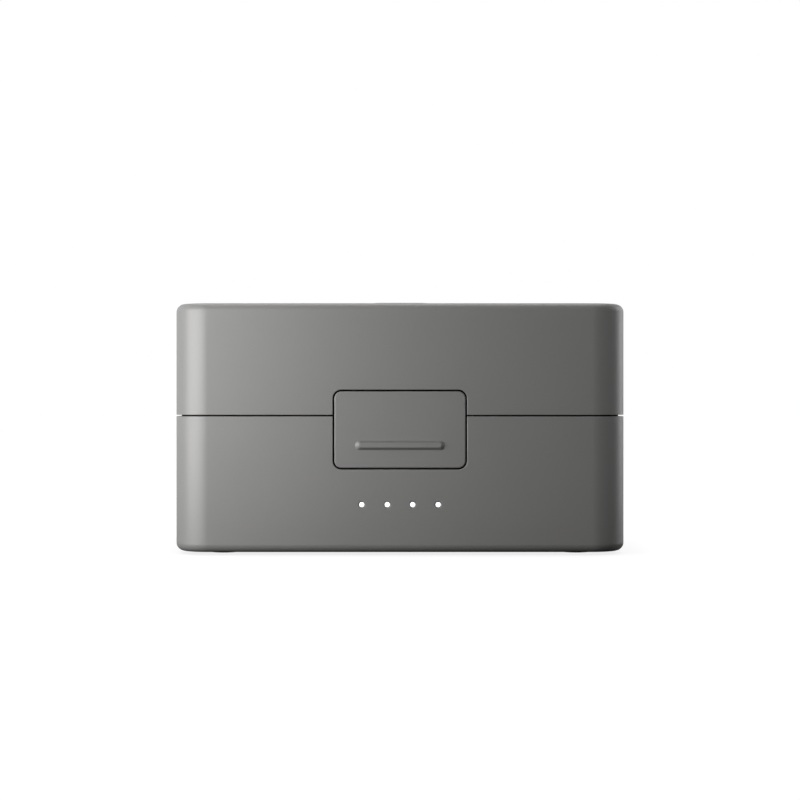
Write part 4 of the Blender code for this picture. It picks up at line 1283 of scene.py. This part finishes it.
def screw_pattern(way, shaft):
    """Pan-head screw with a cross recess, its head bearing at the origin. Way 1 points its shaft up."""
    head = round_over(SCREW_HEAD_ROUND, SCREW_HEAD_HEIGHT - SCREW_HEAD_ROUND, SCREW_HEAD_ROUND, 0, 90)
    rings = [
        (circle(SCREW_RADIUS * SCREW_TIP_SHARE), -shaft),
        (circle(SCREW_RADIUS), -shaft + SCREW_RADIUS),
        (circle(SCREW_RADIUS), 0.0),
        (circle(SCREW_HEAD_RADIUS), 0.0),
        *[(circle(SCREW_HEAD_RADIUS - inset), height) for inset, height in head],
    ]
    screw = loft("screw_pattern", [(outline, -way * along) for outline, along in rings])
    for wide, deep in ((CROSS_LENGTH, CROSS_WIDTH), (CROSS_WIDTH, CROSS_LENGTH)):
        low = (-wide / 2, -deep / 2, SCREW_HEAD_HEIGHT - CROSS_DEPTH)
        slot = box("cross", low, (wide / 2, deep / 2, SCREW_HEAD_HEIGHT + OVERRUN))
        slot.data.transform(Matrix.Scale(-way, 4, (0, 0, 1)))
        if way > 0:
            slot.data.flip_normals()
        cut(screw, slot)
    return dress(screw, finish_named(screw_steel))


def build_screws():
    for kind, way, body in SCREWS:
        _, _, tall = block_size(f"{kind}_front_left")
        pattern = screw_pattern(way, tall - SCREW_HEAD_HEIGHT)
        for end in ENDS:
            node = f"{kind}_{end}"
            low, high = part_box(node)
            bearing = high.z - SCREW_HEAD_HEIGHT if way < 0 else low.z + SCREW_HEAD_HEIGHT
            set_in(pattern, f"{kind}_piece_{end}", body, "steel", node, bearing)
        bpy.data.objects.remove(pattern)


# Charging socket

SOCKET_SKIN = 0.0003
SOCKET_FLOOR = 0.0010
TONGUE_HALF = (0.00335, 0.00035)
TONGUE_SETBACK = 0.0010
TONGUE_ROUND = 0.0001
PAD_COUNT = 8
PAD_PITCH = 0.0007
PAD_HALF_WIDTH = 0.00018
PAD_LENGTH = 0.0030
PAD_SETBACK = 0.00072
PAD_RISE = 0.00002


def build_socket():
    """Steel socket shell with a black tongue that carries gold pads."""
    root = SOCKET_LOW.y + SOCKET_FLOOR
    mouth = SOCKET_HIGH.y
    lip = SOCKET_SKIN / 2
    profile = [
        (0.0, SOCKET_LOW.y),
        *round_over(lip, mouth - lip, lip, 0, 180),
        (SOCKET_SKIN, root),
    ]
    case = profiled(
        "socket",
        lambda inset: rounded_box_outline(SOCKET_LOW.xz, SOCKET_HIGH.xz, SOCKET_CORNER, inset),
        profile,
        "Y",
    )
    level = middle(SOCKET_LOW, SOCKET_HIGH)[2]
    wide, thick = TONGUE_HALF
    tip = mouth - TONGUE_SETBACK
    tongue = soften(box("tongue", (-wide, root, level - thick), (wide, tip, level + thick)), TONGUE_ROUND)
    pieces = [dress(case, finish_named(drawn_steel)), dress(tongue, finish_named(moulded_black))]
    gold = frame_finish("contact_block_left")
    for i in range(PAD_COUNT):
        x = (i - (PAD_COUNT - 1) / 2) * PAD_PITCH
        for face in (level - thick, level + thick):
            low = (x - PAD_HALF_WIDTH, tip - PAD_LENGTH, face - PAD_RISE)
            high = (x + PAD_HALF_WIDTH, tip - PAD_SETBACK, face + PAD_RISE)
            pieces.append(dress(box("pad", low, high), gold))
    socket = smooth(join("socket_piece", pieces))
    return fit(socket, "base", "steel", "charge_socket")


# Pieces that keep their CAD shape

KEPT_SHAPES = (
    (drawn_steel, ["hinge_pin"]),
    (black_steel, ["latch_pin"]),
    (screw_steel, ["capacitor_1", "capacitor_2"]),
    (moulded_black, ["charge_chip", "charge_coil"]),
    (circuit_board, ["main_board", "light_board"]),
    (light_body, EMITTER_NODES),
)


def build_inside():
    """Finishes for the pieces whose CAD shape is right as it is. The contacts keep the frame's gold."""
    for maker, nodes in KEPT_SHAPES:
        for node in nodes:
            recoat(node, finish_named(maker))
    for side in SIDES:
        for kind in ("contact_block", "battery_terminals"):
            smooth(frame["nodes"][f"{kind}_{side}"])


# Studio

FLOOR_SIZE = 3.0
FLOOR_THICK = 0.002
FLOOR_DROP = 0.00005
FLOOR_GREY = (0.06, 0.06, 0.06, 1.0)
CONTACT_SHADE = 0.18
CONTACT_REACH = 0.012
MIRRORED_GLOW = 0.5
MIRRORED_REACH = 0.12
SHADOW_SAMPLES = 8
SENSOR_WIDTH = 36.0
CLIP_START = 0.01

# Size and place of each lamp. Its power is the stage setting of the same name.
LAMPS = {
    "key": ((0.12, 0.10), (-0.1207, -0.0977, 0.0500)),
    "front": ((0.12, 0.10), (-0.0721, -0.1349, 0.0713)),
    "fill": ((0.20, 0.12), (0.2584, -0.1592, 0.0620)),
    "side": ((0.25, 0.50), (0.440, 0.224, 0.074)),
    "top": ((0.45, 0.40), (0.0, 0.170, 0.560)),
}
LAMP_AIM = (0.0, -0.010, 0.030)


def area_light(name, watts, size, place):
    """Rectangular lamp turned to the case. The camera doesn't see the lamp itself."""
    lamp = bpy.data.lights.new(name, "AREA")
    lamp.shape = "RECTANGLE"
    lamp.size, lamp.size_y = size
    lamp.energy = watts
    made = link(name, lamp)
    made.location = place
    made.rotation_euler = (Vector(LAMP_AIM) - Vector(place)).to_track_quat("-Z", "Y").to_euler()
    made.visible_camera = False


def build_world(ambient):
    """White where the background is seen, and a dim even light for the rest."""
    world = bpy.data.worlds.new("studio")
    bpy.context.scene.world = world
    world.use_nodes = True
    world.cycles.sampling_method = "NONE"
    nodes = Nodes(world.node_tree)
    light = nodes.node("ShaderNodeBackground", {}, {"Color": WHITE, "Strength": ambient})
    seen = nodes.node("ShaderNodeBackground", {}, {"Color": WHITE, "Strength": 1.0})
    surface = nodes.node("ShaderNodeMixShader", {}, {0: nodes.seen_rays(), 1: light, 2: seen})
    nodes.link(nodes.tree.nodes["World Output"].inputs["Surface"], surface)


def build_floor():
    """Pale floor that is white where it is seen, less the shadow of what stands on it."""
    half = FLOOR_SIZE / 2
    floor = box("floor", (-half, -half, -FLOOR_THICK - FLOOR_DROP), (half, half, -FLOOR_DROP))
    material = bpy.data.materials.new("floor_white")
    material.use_nodes = True
    nodes = Nodes(material.node_tree)
    nodes.tree.nodes.remove(nodes.tree.nodes["Principled BSDF"])
    plain = nodes.node("ShaderNodeBsdfDiffuse", {}, {"Color": FLOOR_GREY})
    near, wide = [
        nodes.node("ShaderNodeAmbientOcclusion", {"samples": SHADOW_SAMPLES}, {"Distance": reach}, "AO")
        for reach in (CONTACT_REACH, MIRRORED_REACH)
    ]
    camera = nodes.node("ShaderNodeLightPath", {}, {}, "Is Camera Ray")
    direct = 1 - (1 - near) * CONTACT_SHADE
    mirrored = wide * wide * wide * MIRRORED_GLOW
    level = camera * direct + (1 - camera) * mirrored
    glow = nodes.node("ShaderNodeEmission", {}, {"Color": level})
    white = nodes.node("ShaderNodeAddShader", {}, {0: plain, 1: glow})
    surface = nodes.node("ShaderNodeMixShader", {}, {0: nodes.seen_rays(), 1: plain, 2: white})
    nodes.link(nodes.tree.nodes["Material Output"].inputs["Surface"], surface)
    dress(floor, material)


def build_camera():
    stage = bpy.context.scene.stage_settings
    data = bpy.data.cameras.new("camera")
    data.lens = stage.lens
    data.sensor_width = SENSOR_WIDTH
    data.clip_start = CLIP_START
    camera = link("camera", data)
    camera.location = (0.0, FRONT_Y - stage.camera_distance, stage.camera_height)
    camera.rotation_euler = (math.radians(90), 0.0, 0.0)
    bpy.context.scene.camera = camera


def build_stage():
    stage = bpy.context.scene.stage_settings
    bpy.context.scene.view_settings.view_transform = "Standard"
    build_world(stage.ambient)
    build_floor()
    for name, (size, place) in LAMPS.items():
        area_light(name, getattr(stage, name), size, place)
    build_camera()


# Operators and panel


class CASE_OT_lower_case(bpy.types.Operator):
    """Make the lower shell with its latch recess, light windows and hinge"""

    bl_idname = "charging_case.lower_case"
    bl_label = "Lower case"
    bl_options = {"REGISTER", "UNDO"}

    def execute(self, context):
        build_lower_case()
        return {"FINISHED"}


class CASE_OT_lid(bpy.types.Operator):
    """Make the lid shell with its latch pocket and hinge"""

    bl_idname = "charging_case.lid"
    bl_label = "Lid"
    bl_options = {"REGISTER", "UNDO"}

    def execute(self, context):
        build_lid()
        return {"FINISHED"}


class CASE_OT_badge(bpy.types.Operator):
    """Make the bare plate on the lid"""

    bl_idname = "charging_case.badge"
    bl_label = "Badge plate"
    bl_options = {"REGISTER", "UNDO"}

    def execute(self, context):
        build_badge()
        return {"FINISHED"}


class CASE_OT_latch(bpy.types.Operator):
    """Make the latch lever with its rib and hook"""

    bl_idname = "charging_case.latch"
    bl_label = "Latch"
    bl_options = {"REGISTER", "UNDO"}

    def execute(self, context):
        build_latch()
        return {"FINISHED"}


class CASE_OT_spring(bpy.types.Operator):
    """Make the spring that pulls the latch shut"""

    bl_idname = "charging_case.spring"
    bl_label = "Latch spring"
    bl_options = {"REGISTER", "UNDO"}

    def execute(self, context):
        build_spring()
        return {"FINISHED"}


class CASE_OT_lights(bpy.types.Operator):
    """Make the light guide with its lit windows"""

    bl_idname = "charging_case.lights"
    bl_label = "Light windows"
    bl_options = {"REGISTER", "UNDO"}

    def execute(self, context):
        build_lights()
        return {"FINISHED"}


class CASE_OT_feet(bpy.types.Operator):
    """Make the rubber feet"""

    bl_idname = "charging_case.feet"
    bl_label = "Feet"
    bl_options = {"REGISTER", "UNDO"}

    def execute(self, context):
        build_feet()
        return {"FINISHED"}


class CASE_OT_tray(bpy.types.Operator):
    """Make the battery tray"""

    bl_idname = "charging_case.tray"
    bl_label = "Tray"
    bl_options = {"REGISTER", "UNDO"}

    def execute(self, context):
        build_tray()
        return {"FINISHED"}


class CASE_OT_packs(bpy.types.Operator):
    """Make the battery packs"""

    bl_idname = "charging_case.packs"
    bl_label = "Packs"
    bl_options = {"REGISTER", "UNDO"}

    def execute(self, context):
        build_packs()
        return {"FINISHED"}


class CASE_OT_liner(bpy.types.Operator):
    """Make the lid liner"""

    bl_idname = "charging_case.liner"
    bl_label = "Liner"
    bl_options = {"REGISTER", "UNDO"}

    def execute(self, context):
        build_liner()
        return {"FINISHED"}


class CASE_OT_pads(bpy.types.Operator):
    """Make the foam pads under the lid"""

    bl_idname = "charging_case.pads"
    bl_label = "Pads"
    bl_options = {"REGISTER", "UNDO"}

    def execute(self, context):
        build_pads()
        return {"FINISHED"}


class CASE_OT_screws(bpy.types.Operator):
    """Make the tray, board and liner screws"""

    bl_idname = "charging_case.screws"
    bl_label = "Screws"
    bl_options = {"REGISTER", "UNDO"}

    def execute(self, context):
        build_screws()
        return {"FINISHED"}


class CASE_OT_socket(bpy.types.Operator):
    """Make the charging socket"""

    bl_idname = "charging_case.socket"
    bl_label = "Socket"
    bl_options = {"REGISTER", "UNDO"}

    def execute(self, context):
        build_socket()
        return {"FINISHED"}


class CASE_OT_inside(bpy.types.Operator):
    """Finish the pins and the inner pieces that keep their CAD shape"""

    bl_idname = "charging_case.inside"
    bl_label = "Inside"
    bl_options = {"REGISTER", "UNDO"}

    def execute(self, context):
        build_inside()
        return {"FINISHED"}


class CASE_OT_stage(bpy.types.Operator):
    """Make the floor, lights, world and camera"""

    bl_idname = "charging_case.stage"
    bl_label = "Stage"
    bl_options = {"REGISTER", "UNDO"}

    def execute(self, context):
        build_stage()
        return {"FINISHED"}


OPERATORS = (
    CASE_OT_lower_case,
    CASE_OT_lid,
    CASE_OT_badge,
    CASE_OT_latch,
    CASE_OT_spring,
    CASE_OT_lights,
    CASE_OT_feet,
    CASE_OT_tray,
    CASE_OT_packs,
    CASE_OT_liner,
    CASE_OT_pads,
    CASE_OT_screws,
    CASE_OT_socket,
    CASE_OT_inside,
    CASE_OT_stage,
)


class CASE_PT_panel(bpy.types.Panel):
    """Lists the settings and the build steps."""

    bl_idname = "CASE_PT_panel"
    bl_label = "Charging case"
    bl_space_type = "VIEW_3D"
    bl_region_type = "UI"
    bl_category = "Charging case"

    def draw(self, context):
        layout = self.layout
        for settings in GROUPS:
            group = getattr(context.scene, settings)
            column = layout.column(align=True)
            for name in group.__annotations__:
                column.prop(group, name)
        for operator in OPERATORS:
            layout.operator(operator.bl_idname)


def register():
    for name, group in GROUPS.items():
        bpy.utils.register_class(group)
        setattr(bpy.types.Scene, name, PointerProperty(type=group))
    for operator in OPERATORS:
        bpy.utils.register_class(operator)
    bpy.utils.register_class(CASE_PT_panel)


def unregister():
    bpy.utils.unregister_class(CASE_PT_panel)
    for operator in reversed(OPERATORS):
        bpy.utils.unregister_class(operator)
    for name, group in GROUPS.items():
        delattr(bpy.types.Scene, name)
        bpy.utils.unregister_class(group)


def main():
    register()
    for operator in OPERATORS:
        group, name = operator.bl_idname.split(".")
        getattr(getattr(bpy.ops, group), name)()


if __name__ == "__main__":
    main()
